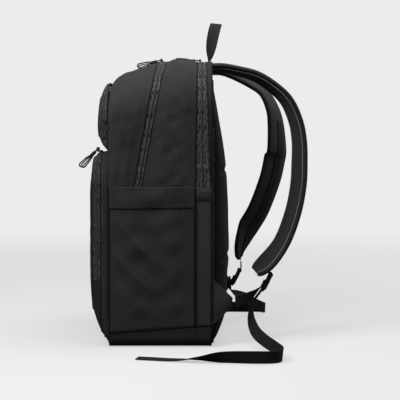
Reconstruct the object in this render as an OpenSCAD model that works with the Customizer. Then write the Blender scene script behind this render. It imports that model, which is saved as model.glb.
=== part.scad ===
/* [Bag body] */
// Width of the main compartment
body_w = 292; // [240:1:340]
// Height from the floor to the flat top
body_h = 474; // [400:1:560]
// Depth of the main and laptop compartments together
body_d = 170; // [145:1:200]
// Radius of the two top corners, seen from the front
top_r = 80; // [50:1:100]
// Radius of the two bottom corners, seen from the front
bottom_r = 18; // [8:1:30]
// Thickness of the lined shell fabric
wall = 2.4; // [1.6:0.1:4]
// Height of the hard-wearing bottom panel
bottom_h = 22; // [14:1:40]

/* [Zippers] */
// Width of a zipper, tape edge to tape edge
zip_w = 14; // [11:0.5:18]
// Width of the zipper coil
coil_w = 5; // [4:0.1:6]
// Thickness of the zipper tape
tape_t = 1.2; // [0.8:0.1:2]
// How far the main zipper leans forward for each mm of height
zip_lean = 0.19; // [0.1:0.01:0.25]
// Height at which the main zipper ends
zip_low = 180; // [150:1:200]

/* [Pockets] */
// Height of the crease where the lid and the front pocket meet
crease_z = 322; // [290:1:340]
// Width of the front pocket
pocket_w = 280; // [220:1:286]
// Depth of the front pocket
pocket_d = 35.5; // [30:0.5:45]
// Height at which the front pocket's zipper ends and its flap folds
flap_z = 111; // [80:1:150]
// Width of the pocket on the lid
upper_w = 264; // [200:1:268]
// Depth of the pocket on the lid
upper_d = 20; // [14:0.5:24]
// Height of the side pockets' top edge
side_z = 264; // [200:1:290]
// Length of the side pockets along the bag's depth
side_len = 141; // [110:1:144]
// Room inside a side pocket, lying flat
side_gap = 8; // [6:0.5:20]
// Height of the folded hem on a side pocket
hem_h = 36; // [20:1:50]

/* [Back] */
// Width of the padded back
pad_w = 262; // [200:1:268]
// Thickness of the padded back at its fullest
pad_t = 31; // [20:0.5:40]
// Thickness of the spacer mesh cover
mesh_t = 1.6; // [1:0.1:3]
// Thickness of the plastic frame sheet
sheet_t = 2; // [1:0.1:3]
// Thickness of the padded laptop divider
divider_t = 5; // [3:0.5:8]
// Depth of the laptop compartment
laptop_d = 24; // [18:0.5:30]

/* [Straps] */
// Width of a shoulder strap
strap_w = 65; // [50:1:75]
// Thickness of a shoulder strap
strap_t = 12; // [8:0.5:16]
// Distance from the middle of the bag to a strap's root
strap_x = 60; // [50:1:70]
// Width of the strap webbing
webbing_w = 20; // [15:1:25]
// Thickness of the strap webbing
webbing_t = 1.6; // [1.2:0.1:2.2]
// Height of the grab handle's loop
handle_h = 69; // [50:1:80]
// Distance between the grab handle's two legs
handle_span = 66; // [60:1:80]

/* [Fittings] */
// Width of a ladder lock buckle
lock_w = 30; // [28:1:36]
// Length of a ladder lock buckle
lock_l = 28; // [26:1:34]
// Length of a zipper pull
pull_l = 44; // [34:1:50]
// Radius of the cord in a zipper pull
pull_r = 1.2; // [0.8:0.1:1.6]
// Clearance between pieces that move past each other
gap = 0.4; // [0.3:0.1:0.6]
// Running clearance round a hinge pin
pin_gap = 0.3; // [0.2:0.05:0.4]

/* [Hidden] */
$fn = 48;
front_y = -body_d / 2;
back_y = body_d / 2;
side_x = body_w / 2;
// main zipper: its centre line leans forward from here
zip_top_y = front_y + 87;
// laptop compartment: front seam, zipper centre and rear seam
laptop_y = back_y - laptop_d;
laptop_zip_y = laptop_y + zip_w / 2 + 1;
garage_z = 242;
garage_h = 20;
// front pocket: seam lines counted forward from the front wall
pocket_front = front_y - pocket_d;
pocket_zip_y = front_y - 13 - zip_w / 2;
// pocket on the lid
upper_zip_y = front_y - 9;
upper_top = body_h - 36;
side_zip_z = crease_z + 55;
// side pockets
side_bottom = 24;
// slider sizes
slider_l = 14;
slider_d = 8;
slider_h = 3;
pin_r = 0.9;
pin_z = 5.8;
pin_off = -3.6;

fabric = [0.16, 0.16, 0.165];
panel = [0.12, 0.12, 0.125];
dark = [0.06, 0.06, 0.065];
meshy = [0.14, 0.14, 0.15];
tape_c = [0.2, 0.2, 0.205];

// ---------- shared shapes ----------

// extrudes a shape drawn in X and Z from Y = a to Y = b
module along_y(a, b) translate([0, b, 0]) rotate([90, 0, 0]) linear_extrude(b - a) children();

// extrudes a shape drawn in Y and Z, centred on X
module along_x(w) rotate([90, 0, 90]) translate([0, 0, -w / 2]) linear_extrude(w) children();

// upright panel outline: width, bottom, top, top corners, bottom corners
module arch(w, z0, z1, rt, rb) {
    translate([-w / 2, z0 + rb]) square([w, z1 - z0 - rt - rb]);
    translate([-w / 2 + rb, z0]) square([w - 2 * rb, rb + 1]);
    translate([-w / 2 + rt, z1 - rt - 1]) square([w - 2 * rt, rt + 1]);
    for (s = [-1, 1]) {
        translate([s * (w / 2 - rt), z1 - rt]) circle(rt);
        translate([s * (w / 2 - rb), z0 + rb]) circle(rb);
    }
}

// Y of the main zipper's centre line at height z
function zip_y(z) = zip_top_y - (body_h - z) * zip_lean;

// side view of the bag, i inside its outer surface
function bag_profile(i) = [
    [front_y + i, i], [back_y - i, i], [back_y - i, body_h - i],
    [zip_top_y, body_h - i], [front_y + 49, body_h - 17 - i * 1.1],
    [front_y + 21, body_h - 26.5 - i * 1.1], [front_y + 9 + i / 2, body_h - 32.5 - i * 1.1],
    [front_y + 2.5 + i, body_h - 41 - i * 1.1], [front_y + i, body_h - 60]
];

module bag_solid(i) intersection() {
    along_y(front_y - 10, back_y + 10)
        arch(body_w - 2 * i, i, body_h - i, top_r - i, bottom_r - i);
    along_x(body_w + 20) polygon(bag_profile(i));
}

module bag_shell(out = 0, t = wall) difference() {
    bag_solid(out);
    bag_solid(out + t);
}

// region of the side view between two offsets from the main zipper's centre line
module zip_region(a, b, z0, z1) along_x(body_w + 40) polygon([
    [zip_y(z0) + a, z0], [zip_y(z0) + b, z0], [zip_y(z1) + b, z1], [zip_y(z1) + a, z1]
]);

module slab(y0, y1, z0, z1, w = 400) translate([-w / 2, y0, z0]) cube([w, y1 - y0, z1 - z0]);

// ---------- sewn shell of the bag, all on one body ----------

module main_gusset() color(fabric) difference() {
    bag_shell();
    slab(front_y - 1, front_y + wall, -1, body_h + 1);
    slab(laptop_y, back_y + 1, -1, body_h + 1);
    slab(front_y - 1, back_y + 1, -1, bottom_h);
    zip_region(-zip_w / 2, zip_w / 2, zip_low, body_h + 20);
    zip_region(-200, 0, crease_z - gap / 2, body_h + 20);
}

module front_wall() color(fabric) intersection() {
    bag_solid(0);
    slab(front_y, front_y + wall, bottom_h, crease_z - gap / 2);
}

module bottom_panel() color(panel) intersection() {
    bag_shell();
    slab(front_y - 1, back_y + 1, -1, bottom_h);
}

module back_panel() color(dark) intersection() {
    bag_solid(0);
    slab(back_y - wall, back_y, bottom_h, body_h + 1);
}

module laptop_gusset() color(fabric) difference() {
    intersection() {
        bag_shell();
        slab(laptop_y, back_y - wall, bottom_h, body_h + 1);
    }
    slab(laptop_y - 1, laptop_y + zip_w + 2, garage_z, body_h + 1);
}

module laptop_divider() color(dark) intersection() {
    bag_solid(wall + 0.2);
    slab(laptop_y - divider_t, laptop_y, bottom_h + 1, body_h - 44);
}

module frame_sheet() color([0.5, 0.5, 0.52])
    along_y(back_y - wall - sheet_t - 0.1, back_y - wall - 0.1)
        arch(body_w - 24, bottom_h + 2, body_h - 14, top_r - 12, bottom_r);

module base_board() color([0.5, 0.5, 0.52])
    translate([-side_x + 20, front_y + 6, wall + 0.1])
        cube([body_w - 40, laptop_y - divider_t - front_y - 8, 2]);

// ---------- padded back ----------

// side view of the padded back, i inside its outer surface
function pad_profile(i) = [
    [back_y + 0.1, 4], [back_y + 12 - i, 16 + i], [back_y + pad_t - 8 - i, 41],
    [back_y + pad_t - 4 - i, 58], [back_y + pad_t - 2.5 - i, 109],
    [back_y + pad_t - i, 142], [back_y + pad_t - 1 - i, 210],
    [back_y + pad_t - 3 - i, 275], [back_y + pad_t - 6 - i, 306],
    [back_y + pad_t * 0.64 - i, 343], [back_y + pad_t * 0.48 - i, body_h - 104],
    [back_y + pad_t * 0.32 - i, body_h - 77], [back_y + 4 - i / 2, body_h - 48],
    [back_y + 0.1, body_h - 32 - i]
];

module pad_solid(i) intersection() {
    along_y(back_y + 0.1, back_y + pad_t + 1)
        arch(pad_w - 2 * i, 4 + i, body_h - 32 - i, 70 - i, 16 - i);
    along_x(pad_w) polygon(pad_profile(i));
}

module back_foam() color([0.3, 0.3, 0.32]) pad_solid(mesh_t + 0.05);

module back_mesh() color(meshy) difference() {
    pad_solid(0);
    pad_solid(mesh_t);
}

// ---------- zippers of the bag ----------

module tape_shell() difference() {
    bag_solid(0.5);
    bag_solid(0.5 + tape_t);
}

module coil_shell() difference() {
    bag_solid(-0.3);
    bag_solid(1.9);
}

module main_zipper_tape() color(tape_c) intersection() {
    tape_shell();
    union() {
        zip_region(coil_w / 2, zip_w / 2, zip_low, body_h + 20);
        zip_region(-zip_w / 2, -coil_w / 2, zip_low, crease_z - gap / 2);
    }
}

module main_zipper_coil() color(dark) intersection() {
    coil_shell();
    zip_region(-coil_w / 2, coil_w / 2, zip_low, body_h + 20);
}

module laptop_zipper_tape() color(tape_c) intersection() {
    tape_shell();
    union() {
        slab(laptop_y, laptop_zip_y - coil_w / 2, garage_z + garage_h, body_h + 1);
        slab(laptop_zip_y + coil_w / 2, laptop_y + zip_w + 2, garage_z + garage_h, body_h + 1);
    }
}

module laptop_zipper_coil() color(dark) intersection() {
    coil_shell();
    slab(laptop_zip_y - coil_w / 2, laptop_zip_y + coil_w / 2, garage_z + garage_h, body_h + 1);
}

module zipper_garages() color(fabric) intersection() {
    bag_shell(-0.4, 1.8);
    slab(laptop_y, laptop_y + zip_w + 2, garage_z, garage_z + garage_h);
}

// ---------- side pockets ----------

module side_pocket() color(fabric) difference() {
    translate([side_x + 0.1, front_y + 1, side_bottom])
        cube([side_gap + 2, side_len, side_z - hem_h - side_bottom]);
    translate([side_x - 1, front_y + 3, side_bottom + 2])
        cube([side_gap + 1.1, side_len - 4, side_z]);
}

module side_hem() color(panel) difference() {
    translate([side_x + 0.1, front_y + 1, side_z - hem_h])
        cube([side_gap + 2.6, side_len, hem_h]);
    translate([side_x - 1, front_y + 3, side_z - hem_h - 1])
        cube([side_gap + 1.1, side_len - 4, hem_h + 2]);
}

module side_pocket_right() side_pocket();
module side_pocket_left() mirror([1, 0, 0]) side_pocket();
module side_hem_right() side_hem();
module side_hem_left() mirror([1, 0, 0]) side_hem();

// ---------- front pocket ----------

// side view of the front pocket, i inside its outer surface
function pocket_profile(i) = [
    [front_y - 0.1, 2 + i], [front_y - 12, 20 + i * 1.2], [pocket_front + 12 + i, 48],
    [pocket_front + 6 + i, 75], [pocket_front + 1.8 + i, 101], [pocket_front + i, 134],
    [pocket_front + i, crease_z - 79], [pocket_front + 2.2 + i, crease_z - 43],
    [pocket_front + 6.5 + i, crease_z - 13 - i], [pocket_front + 10.5 + i, crease_z - 4.5 - i],
    [pocket_front + 15.5 + i / 2, crease_z - 1 - i], [front_y - 0.1, crease_z - 1 - i]
];

module pocket_solid(i) intersection() {
    along_y(pocket_front - 1, front_y - 0.1)
        arch(pocket_w - 2 * i, 2 + i, crease_z - 1 - i, 60 - i, 18 - i);
    along_x(pocket_w) polygon(pocket_profile(i));
}

module pocket_shell(out = 0, t = wall) difference() {
    pocket_solid(out);
    pocket_solid(out + t);
}

module front_pocket_gusset() color(fabric) intersection() {
    pocket_shell();
    slab(pocket_zip_y + zip_w / 2, front_y + 1, 0, crease_z + 5);
}

module front_pocket_base() color(panel) intersection() {
    pocket_shell();
    slab(pocket_front - 5, pocket_zip_y + zip_w / 2, 0, flap_z - gap / 2);
}

module front_pocket_tape() color(tape_c) intersection() {
    pocket_shell(0.5, tape_t);
    slab(pocket_zip_y + coil_w / 2, pocket_zip_y + zip_w / 2, flap_z - gap / 2, crease_z + 5);
}

module front_pocket_coil() color(dark) intersection() {
    pocket_shell(0, 2);
    slab(pocket_zip_y - coil_w / 2, pocket_zip_y + coil_w / 2, flap_z - gap / 2, crease_z + 5);
}

module flap_zipper_tape() color(tape_c) intersection() {
    pocket_shell(0.5, tape_t);
    slab(pocket_zip_y - zip_w / 2, pocket_zip_y - coil_w / 2 - gap, flap_z + gap / 2, crease_z + 5);
}

module front_flap() color(panel) intersection() {
    pocket_shell();
    slab(pocket_front - 5, pocket_zip_y - zip_w / 2, flap_z + gap / 2, crease_z + 5);
}

// ---------- lid: the front top of the bag, with its own pocket ----------

module front_lid() color(fabric) difference() {
    bag_shell();
    slab(front_y - 1, back_y + 1, -1, crease_z + gap / 2);
    zip_region(-zip_w / 2, 300, crease_z - 50, body_h + 20);
}

module lid_zipper_tape() color(tape_c) intersection() {
    tape_shell();
    zip_region(-zip_w / 2, -coil_w / 2 - gap, crease_z + gap / 2, body_h + 20);
}

// side view of the pocket on the lid, i inside its outer surface
function upper_profile(i) = [
    [front_y - 0.1, crease_z + 1.6 + i * 2], [front_y - upper_d * 0.2, crease_z + 8 + i * 1.6],
    [front_y - upper_d * 0.5 + i / 2, crease_z + 18 + i],
    [front_y - upper_d * 0.85 + i, crease_z + 36], [front_y - upper_d + i, crease_z + 64],
    [front_y - upper_d * 0.92 + i, body_h - 71], [front_y - upper_d * 0.8 + i, body_h - 60],
    [front_y - upper_d * 0.6 + i, body_h - 48 - i / 2],
    [front_y - upper_d * 0.3 + i / 2, body_h - 37 - i], [front_y - 0.1, upper_top - i]
];

module upper_solid(i) intersection() {
    along_y(front_y - upper_d - 1, front_y - 0.1)
        arch(upper_w - 2 * i, crease_z + 1 + i, upper_top - i, 66 - i, 6 - i);
    along_x(upper_w) polygon(upper_profile(i));
}

module upper_shell(out = 0, t = wall) difference() {
    upper_solid(out);
    upper_solid(out + t);
}

module upper_pocket_gusset() color(panel) intersection() {
    upper_shell();
    slab(upper_zip_y + zip_w / 2, front_y + 1, crease_z, body_h);
}

module upper_pocket_tape() color(tape_c) intersection() {
    upper_shell(0.5, tape_t);
    union() {
        slab(upper_zip_y - zip_w / 2, upper_zip_y - coil_w / 2, crease_z, body_h);
        slab(upper_zip_y + coil_w / 2, upper_zip_y + zip_w / 2, crease_z, body_h);
    }
}

module upper_pocket_coil() color(dark) intersection() {
    upper_shell(0, 2);
    slab(upper_zip_y - coil_w / 2, upper_zip_y + coil_w / 2, crease_z, body_h);
}

module upper_pocket_panel() color(panel) intersection() {
    upper_shell();
    slab(front_y - upper_d - 5, upper_zip_y - zip_w / 2, crease_z, body_h);
}

// ---------- swept straps and webbing ----------

function unit(v) = v / norm(v);

// point on a smooth curve through p, at t counted in points
function spline(p, t) =
    let (n = len(p) - 1, i = min(floor(t), n - 1), u = t - i,
         a = p[max(i - 1, 0)], b = p[i], c = p[i + 1], d = p[min(i + 2, n)])
    (2 * b + (c - a) * u + (2 * a - 5 * b + 4 * c - d) * u * u
        + (3 * b - a - 3 * c + d) * u * u * u) / 2;

function route(p, steps) = [for (k = [0 : (len(p) - 1) * steps]) spline(p, k / steps)];

function tangent(r, k) = unit(r[min(k + 1, len(r) - 1)] - r[max(k - 1, 0)]);

// eight-sided flat section: half width a, half thickness b, corner cut c
function flat_section(a, b, c) = [
    [a, b - c], [a - c, b], [c - a, b], [-a, b - c],
    [-a, c - b], [c - a, -b], [a - c, -b], [a, c - b]
];

// the same section with a strip of half width m marked on both faces
function strip_section(a, b, c, m) = [
    [a, b - c], [a - c, b], [m, b], [-m, b], [c - a, b], [-a, b - c],
    [-a, c - b], [c - a, -b], [-m, -b], [m, -b], [a - c, -b], [a, c - b]
];

// one ring of a ribbon: centre, tangent, width direction and section
function ring(o, t, w, section) =
    let (across = unit(w - t * (w * t)), up = cross(t, across))
    [for (q = section) o + across * q[0] + up * q[1]];

// closed solid through rings that all have the same number of points; flip splits
// its quads along their other diagonal
module skin(rings, flip = 0) {
    n = len(rings[0]);
    m = len(rings);
    polyhedron(
        [for (r = rings) each r],
        concat(
            [[for (j = [0 : n - 1]) j]],
            [for (k = [0 : m - 2], j = [0 : n - 1])
                [(k + 1) * n + (j + flip) % n, k * n + (j + 1) % n, k * n + j]],
            [for (k = [0 : m - 2], j = [0 : n - 1])
                [(k + 1) * n + j, (k + 1) * n + (j + 1) % n, k * n + (j + 1 - flip) % n]],
            [[for (j = [n - 1 : -1 : 0]) (m - 1) * n + j]]
        ), convexity = 8);
}

// webbing along a route, with a width direction at each of its points
module webbing(points, widths, steps = 4, w = webbing_w, t = webbing_t) {
    r = route(points, steps);
    a = route(widths, steps);
    skin([for (k = [0 : len(r) - 1])
        ring(r[k], tangent(r, k), a[k], flat_section(w / 2, t / 2, t / 4))]);
}

// outer edge of each strap as [Y, Z], counted back from its root at the top of the back
root_y = back_y + gap;
root_z = body_h - 3;
strap_right = [
    [0, 0], [20, 0.5], [46, -4], [80, -13], [113, -33], [138, -58], [155, -95], [162, -132],
    [163, -169], [162, -200], [157, -234], [149, -265], [137, -298], [122, -325], [104, -348],
    [86, -365]
];
strap_left = [
    [0, 0], [20, 0.5], [43, -5], [76, -18], [107, -36], [128, -66], [139, -101], [144, -149],
    [141, -173], [134, -206], [120, -247], [107, -277], [87, -310], [69, -338], [58, -355]
];
// how the straps' faces lean, and how far they splay from root to end
lean_right = [8, 14, 20];
lean_left = [10, 37, 4];
splay_right = 25;
splay_left = 36;

// lean of a strap's face at share s of its length: none at the root, then a, b and c
function lean(s, a, b, c) = s < 0.25 ? a * s / 0.25
    : s < 0.55 ? a + (b - a) * (s - 0.25) / 0.3
    : s < 0.84 ? b : b + (c - b) * (s - 0.84) / 0.16;

// share of the full width near a strap's rounded end
function end_share(s) = s < 0.9 ? 1 : max(0.3, sqrt(1 - pow((s - 0.9) / 0.105, 2) * 0.85));

// rings of one strap on the right-hand side, from its outer edge line; lift moves
// them off its face, and a ring is the whole strap or just the webbing on it
function strap_rings(edge, leans, splay, lift = 0, whole = true) =
    let (r = route([for (q = edge) [0, root_y + q[0], root_z + q[1]]], 2), m = len(r) - 1)
    [for (k = [0 : m])
        let (s = k / m, v = lean(s, leans[0], leans[1], leans[2]), d = tangent(r, k),
             out = cross([1, 0, 0], d), face = out * cos(v) - [sin(v), 0, 0],
             drop = strap_t / 2 * cos(v) + strap_w / 2 * sin(v),
             o = r[k] - out * drop + face * lift + [strap_x + splay * s, 0, 0],
             across = [cos(v), 0, 0] + out * sin(v))
        ring(o, d, across, whole
            ? strip_section(strap_w / 2 * end_share(s), strap_t / 2, 3, webbing_w / 2 * end_share(s))
            : flat_section(webbing_w / 2 * end_share(s), webbing_t / 2, webbing_t / 4))];

module shoulder_strap_right() color(meshy) skin(strap_rings(strap_right, lean_right, splay_right));
module shoulder_strap_left() color(meshy) mirror([1, 0, 0])
    skin(strap_rings(strap_left, lean_left, splay_left));

// webbing sewn down the middle of a strap's outer face, from ring first on
module face_webbing(edge, leans, splay, first) {
    rings = strap_rings(edge, leans, splay, strap_t / 2 + webbing_t / 2 + gap, false);
    skin([for (k = [first : len(rings) - 2]) rings[k]], 1);
}

module strap_webbing_right() color(dark) {
    face_webbing(strap_right, lean_right, splay_right, 12);
    lock_loop(lock_right, 13, 12.5, -1);
}
module strap_webbing_left() color(dark) mirror([1, 0, 0]) {
    face_webbing(strap_left, lean_left, splay_left, 12);
    lock_loop(lock_left, 0, 16, 1);
}

// ---------- ladder locks: they hang from a loop of webbing on each strap's outer face ----------

lock_tilt = -25.6;
bar_r = 1.6;
lock_bar_z = -12;
// middle of a lock's top bar, counted from the strap's root
lock_right = [80, root_y + 100.6, root_z - 358];
lock_left = [98, root_y + 54, root_z - 373];

// the loop round a lock's top bar, with a leg on one side that runs up onto the strap
module lock_loop(at, lean, leg, side) translate(at - [webbing_w / 2, 0, 0]) rotate([90, 0, 90])
    linear_extrude(webbing_w) {
        difference() {
            circle(bar_r + gap + webbing_t);
            circle(bar_r + gap);
        }
        rotate(lean) translate([side * (bar_r + gap + webbing_t / 2) - webbing_t / 2, 0])
            square([webbing_t, leg]);
    }

module lock_frame() {
    for (s = [-1, 1])
        translate([s * (lock_w / 2 - 1.5) - 1.5, -2.4, -lock_l + 1.5])
            cube([3, 4.8, lock_l + 0.5]);
    for (z = [0, lock_bar_z])
        translate([-lock_w / 2 + 1, 0, z]) rotate([0, 90, 0]) cylinder(r = bar_r, h = lock_w - 2);
    translate([-lock_w / 2 + 1, -1.6, -lock_l + 1.5]) cube([lock_w - 2, 3.2, 5]);
    translate([-6, -1.6, -lock_l - 3.5]) cube([12, 3.2, 6]);
}

// webbing round the lock's middle bar, with its end behind the lower bar
module lock_wrap() translate([-webbing_w / 2, 0, lock_bar_z]) rotate([90, 0, 90])
    linear_extrude(webbing_w) {
        difference() {
            circle(bar_r + 0.2 + webbing_t);
            circle(bar_r + 0.2);
        }
        translate([-bar_r - 0.2 - webbing_t, -10]) square([webbing_t, 10]);
    }

module at_lock(p) translate(p) rotate([lock_tilt, 0, 0]) children();

module ladder_lock_right() color([0.1, 0.1, 0.1]) at_lock(lock_right) lock_frame();
module ladder_lock_left() color([0.1, 0.1, 0.1]) mirror([1, 0, 0])
    at_lock(lock_left) lock_frame();
module lock_wrap_right() color(dark) at_lock(lock_right) lock_wrap();
module lock_wrap_left() color(dark) mirror([1, 0, 0]) at_lock(lock_left) lock_wrap();

// ---------- corner tabs and the webbing from them to the locks ----------

tab_top = 112;
tab_low = 37;
tab_tip = [side_x - 11, back_y + 38, 74];
tab_t = 2.4;

module corner_tab() {
    a = [side_x - 3, back_y + 0.5, tab_top];
    b = [side_x - 3, back_y + 0.5, tab_low];
    n = unit(cross(b - a, tab_tip - a)) * tab_t / 2;
    polyhedron([a + n, b + n, tab_tip + n, a - n, b - n, tab_tip - n],
        [[0, 2, 1], [3, 4, 5], [0, 1, 4, 3], [1, 2, 5, 4], [2, 0, 3, 5]]);
}

module corner_tab_right() color(panel) corner_tab();
module corner_tab_left() color(panel) mirror([1, 0, 0]) corner_tab();

// lower webbing: from the back of a lock's middle bar to the tab's tip, by way of
// the points between, which are counted from the lock
module lower_webbing(lock, between, turns) {
    foot = lock + [0, -10.4, -10.6];
    low = foot + [0, -4.4, -9];
    tip = tab_tip + [-0.5, 1.6, 0];
    webbing(concat([foot, low], [for (p = between) lock + p], [tip]),
        concat([[1, 0, 0], [1, 0, 0]], turns, [[0, 0, 1]]), 3);
}

module lower_webbing_right() color(dark) lower_webbing(lock_right,
    [[3, -21, -26], [14, -30, -32], [30, -42, -36]],
    [[0.95, 0, 0.3], [0.75, 0, 0.65], [0.3, 0, 0.95]]);
module lower_webbing_left() color(dark) mirror([1, 0, 0]) lower_webbing(lock_left,
    [[3, -21.5, -26], [13, -23.5, -29.5], [26, -20.5, -29]],
    [[0.9, 0, 0.45], [0.45, 0, 0.9], [0, 0, 1]]);

// ---------- loose tails of the lower webbing ----------

// points of each tail's middle line, and the direction of its width there
tail_right = [
    [80, 173.8, 93.4], [80, 169.6, 85], [81, 162, 75], [88, 154, 64], [101, 151, 50], [120, 152, 37],
    [150, 158, 26], [182, 170, 19], [215, 183, 15], [245, 193, 12], [266, 190, 11],
    [277, 174, 11], [277, 141, 11], [271, 103, 10], [262, 65, 6], [252, 27, 2],
    [243, -8, 1.5], [237, -33, 1.5]
];
tail_right_w = [
    [1, 0, 0], [1, 0, 0], [1, 0, 0], [1, 0.1, 0.2], [0.8, 0.4, 0.5], [0.5, 0.5, 0.6],
    [0.3, 0.6, 0.7], [0.2, 0.5, 0.8], [0.1, 0.3, 0.9], [0, 0.2, 1], [0.1, 0, 1],
    [0.1, 0, 1], [0.1, 0, 1], [0.3, 0, 0.9], [0.8, 0.1, 0.4], [1, 0.2, 0.06],
    [1, 0.2, 0], [1, 0.2, 0]
];
tail_left = [
    [98, 127.4, 78.7], [98, 123, 70], [98, 122.5, 62], [104, 128, 54], [120, 139, 47], [142, 155, 38],
    [168, 172, 24], [190, 189, 13], [202, 193, 11], [207, 180, 11], [207, 150, 11],
    [207, 120, 11], [206, 88, 9], [202, 50, 4], [197, 12, 1.5], [193, -24, 1.5]
];
tail_left_w = [
    [1, 0, 0], [1, 0, 0], [1, -0.2, 0.1], [0.9, -0.3, 0.4], [0.6, 0, 0.8], [0.4, 0.3, 0.8],
    [0.2, 0.3, 0.9], [0.1, 0.2, 1], [0.1, 0, 1], [0.1, 0, 1], [0.1, 0, 1],
    [0.1, 0, 1], [0.4, 0, 0.8], [0.9, 0.1, 0.25], [1, 0.1, 0], [1, 0.1, 0]
];

module webbing_tail_right() color(dark) webbing(tail_right, tail_right_w);
module webbing_tail_left() color(dark) mirror([1, 0, 0]) webbing(tail_left, tail_left_w);

// ---------- grab handle ----------

handle_y = back_y - 3;
handle_z = body_h + 0.95;
module grab_handle() color(dark) {
    a = handle_span / 2;
    h = handle_h;
    half = [[a, 0, 0], [a, 0, 0.12 * h], [a + 0.5, 2, 0.3 * h], [a * 0.93, 4.5, 0.55 * h],
        [a * 0.75, 8, 0.8 * h], [a * 0.42, 11, 0.96 * h]];
    turn = [[1, 0, 0], [1, 0.15, 0], [0.8, 0.7, 0], [0.25, 1, 0.1], [0, 1, 0.1], [0, 1, 0.1]];
    pts = concat([for (p = half) [-p[0], handle_y + p[1], handle_z + p[2]]],
        [[0, handle_y + 12, handle_z + h]],
        [for (k = [5 : -1 : 0]) [half[k][0], handle_y + half[k][1], handle_z + half[k][2]]]);
    dirs = concat([for (v = turn) [v[0], -v[1], v[2]]], [[0, -1, 0.1]],
        [for (k = [5 : -1 : 0]) [-turn[k][0], -turn[k][1], turn[k][2]]]);
    webbing(pts, dirs, 3, webbing_w, webbing_t * 1.3);
}

// ---------- zipper sliders and their pulls ----------

// slider with its base on z = 0 and a pin along X to the side of its middle
module slider_body(l = slider_l, d = slider_d) {
    translate([-l / 2, -d / 2, 0]) cube([l, d, slider_h]);
    for (s = [-1, 1])
        translate([s * 3.9 - 0.7, pin_off - 1.3, slider_h - 0.5]) cube([1.4, 2.6, 3.6]);
    translate([-4.2, pin_off, pin_z]) rotate([0, 90, 0]) cylinder(r = pin_r, h = 8.4);
}

// pull on the same pin, which reaches towards -Y and is turned down by tilt
module pull_body(tilt) translate([0, pin_off, pin_z]) rotate([tilt, 0, 0]) {
    difference() {
        union() {
            rotate([0, 90, 0]) translate([0, 0, -2.4]) cylinder(r = pin_r + pin_gap + 0.9, h = 4.8);
            translate([-2.4, -9, -1.1]) cube([4.8, 8, 2.2]);
        }
        rotate([0, 90, 0]) translate([0, 0, -5]) cylinder(r = pin_r + pin_gap, h = 10);
    }
    translate([0, -8, 0]) rotate([90, 0, 0]) cylinder(r = 2.8, h = 13);
    loop = 3;
    for (s = [-1, 1])
        translate([s * loop, -20, 0]) rotate([90, 0, 0])
            cylinder(r = pull_r, h = pull_l - 20 - loop - pull_r);
    translate([0, -pull_l + loop + pull_r, 0]) rotate([0, 0, 180])
        rotate_extrude(angle = 180) translate([loop, 0]) circle(pull_r);
}

slide_gap = 0.3 + gap;
main_at = [20, zip_top_y, body_h + slide_gap];
laptop_at = [4, laptop_zip_y, body_h + slide_gap];
pocket_at = [60, pocket_zip_y, crease_z - 1 + gap];
pocket_step = 9;
upper_at = [-upper_w / 2 - gap, upper_zip_y, side_zip_z];

module at_upper() translate(upper_at) rotate([90, 0, -90]) children();

module main_slider_right() color([0.1, 0.1, 0.1]) translate(main_at) slider_body();
module main_slider_left() color([0.1, 0.1, 0.1])
    translate([-main_at[0], main_at[1], main_at[2]]) slider_body();
module laptop_slider() color([0.1, 0.1, 0.1]) translate(laptop_at) slider_body();
module pocket_slider_right() color([0.1, 0.1, 0.1])
    translate(pocket_at + [pocket_step, 0, 0]) slider_body();
module pocket_slider_left() color([0.1, 0.1, 0.1])
    translate(pocket_at - [pocket_step, 0, 0]) slider_body();
module upper_slider() color([0.1, 0.1, 0.1]) at_upper() slider_body(slider_d, slider_l);

module main_pull_right() color(dark) translate(main_at) pull_body(15);
module main_pull_left() color(dark)
    translate([-main_at[0], main_at[1], main_at[2]]) pull_body(15);
module laptop_pull() color(dark) translate(laptop_at) pull_body(0);
module pocket_pull_right() color(dark)
    translate(pocket_at + [pocket_step, 0, 0]) pull_body(45);
module pocket_pull_left() color(dark)
    translate(pocket_at - [pocket_step, 0, 0]) pull_body(48);
module upper_pull() color(dark) at_upper() pull_body(0);

// ---------- nodes ----------

main_gusset();
front_wall();
bottom_panel();
back_panel();
laptop_gusset();
laptop_divider();
frame_sheet();
base_board();
back_foam();
back_mesh();
main_zipper_tape();
main_zipper_coil();
laptop_zipper_tape();
laptop_zipper_coil();
zipper_garages();
side_pocket_right();
side_pocket_left();
side_hem_right();
side_hem_left();
front_pocket_gusset();
front_pocket_base();
front_pocket_tape();
front_pocket_coil();
front_lid();
lid_zipper_tape();
upper_pocket_gusset();
upper_pocket_tape();
upper_pocket_coil();
upper_pocket_panel();
front_flap();
flap_zipper_tape();
shoulder_strap_right();
shoulder_strap_left();
strap_webbing_right();
strap_webbing_left();
corner_tab_right();
corner_tab_left();
lower_webbing_right();
lower_webbing_left();
webbing_tail_right();
webbing_tail_left();
grab_handle();
ladder_lock_right();
ladder_lock_left();
lock_wrap_right();
lock_wrap_left();
main_slider_right();
main_slider_left();
laptop_slider();
pocket_slider_right();
pocket_slider_left();
upper_slider();
main_pull_right();
main_pull_left();
laptop_pull();
pocket_pull_right();
pocket_pull_left();
upper_pull();
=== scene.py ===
"""Looks of a plain black school backpack, built around its packed construction."""

import logging
import math
from dataclasses import dataclass
from enum import Enum
from typing import Optional, Sequence

import bmesh
import bpy
import numpy as np
from mathutils import Matrix, Vector


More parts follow.
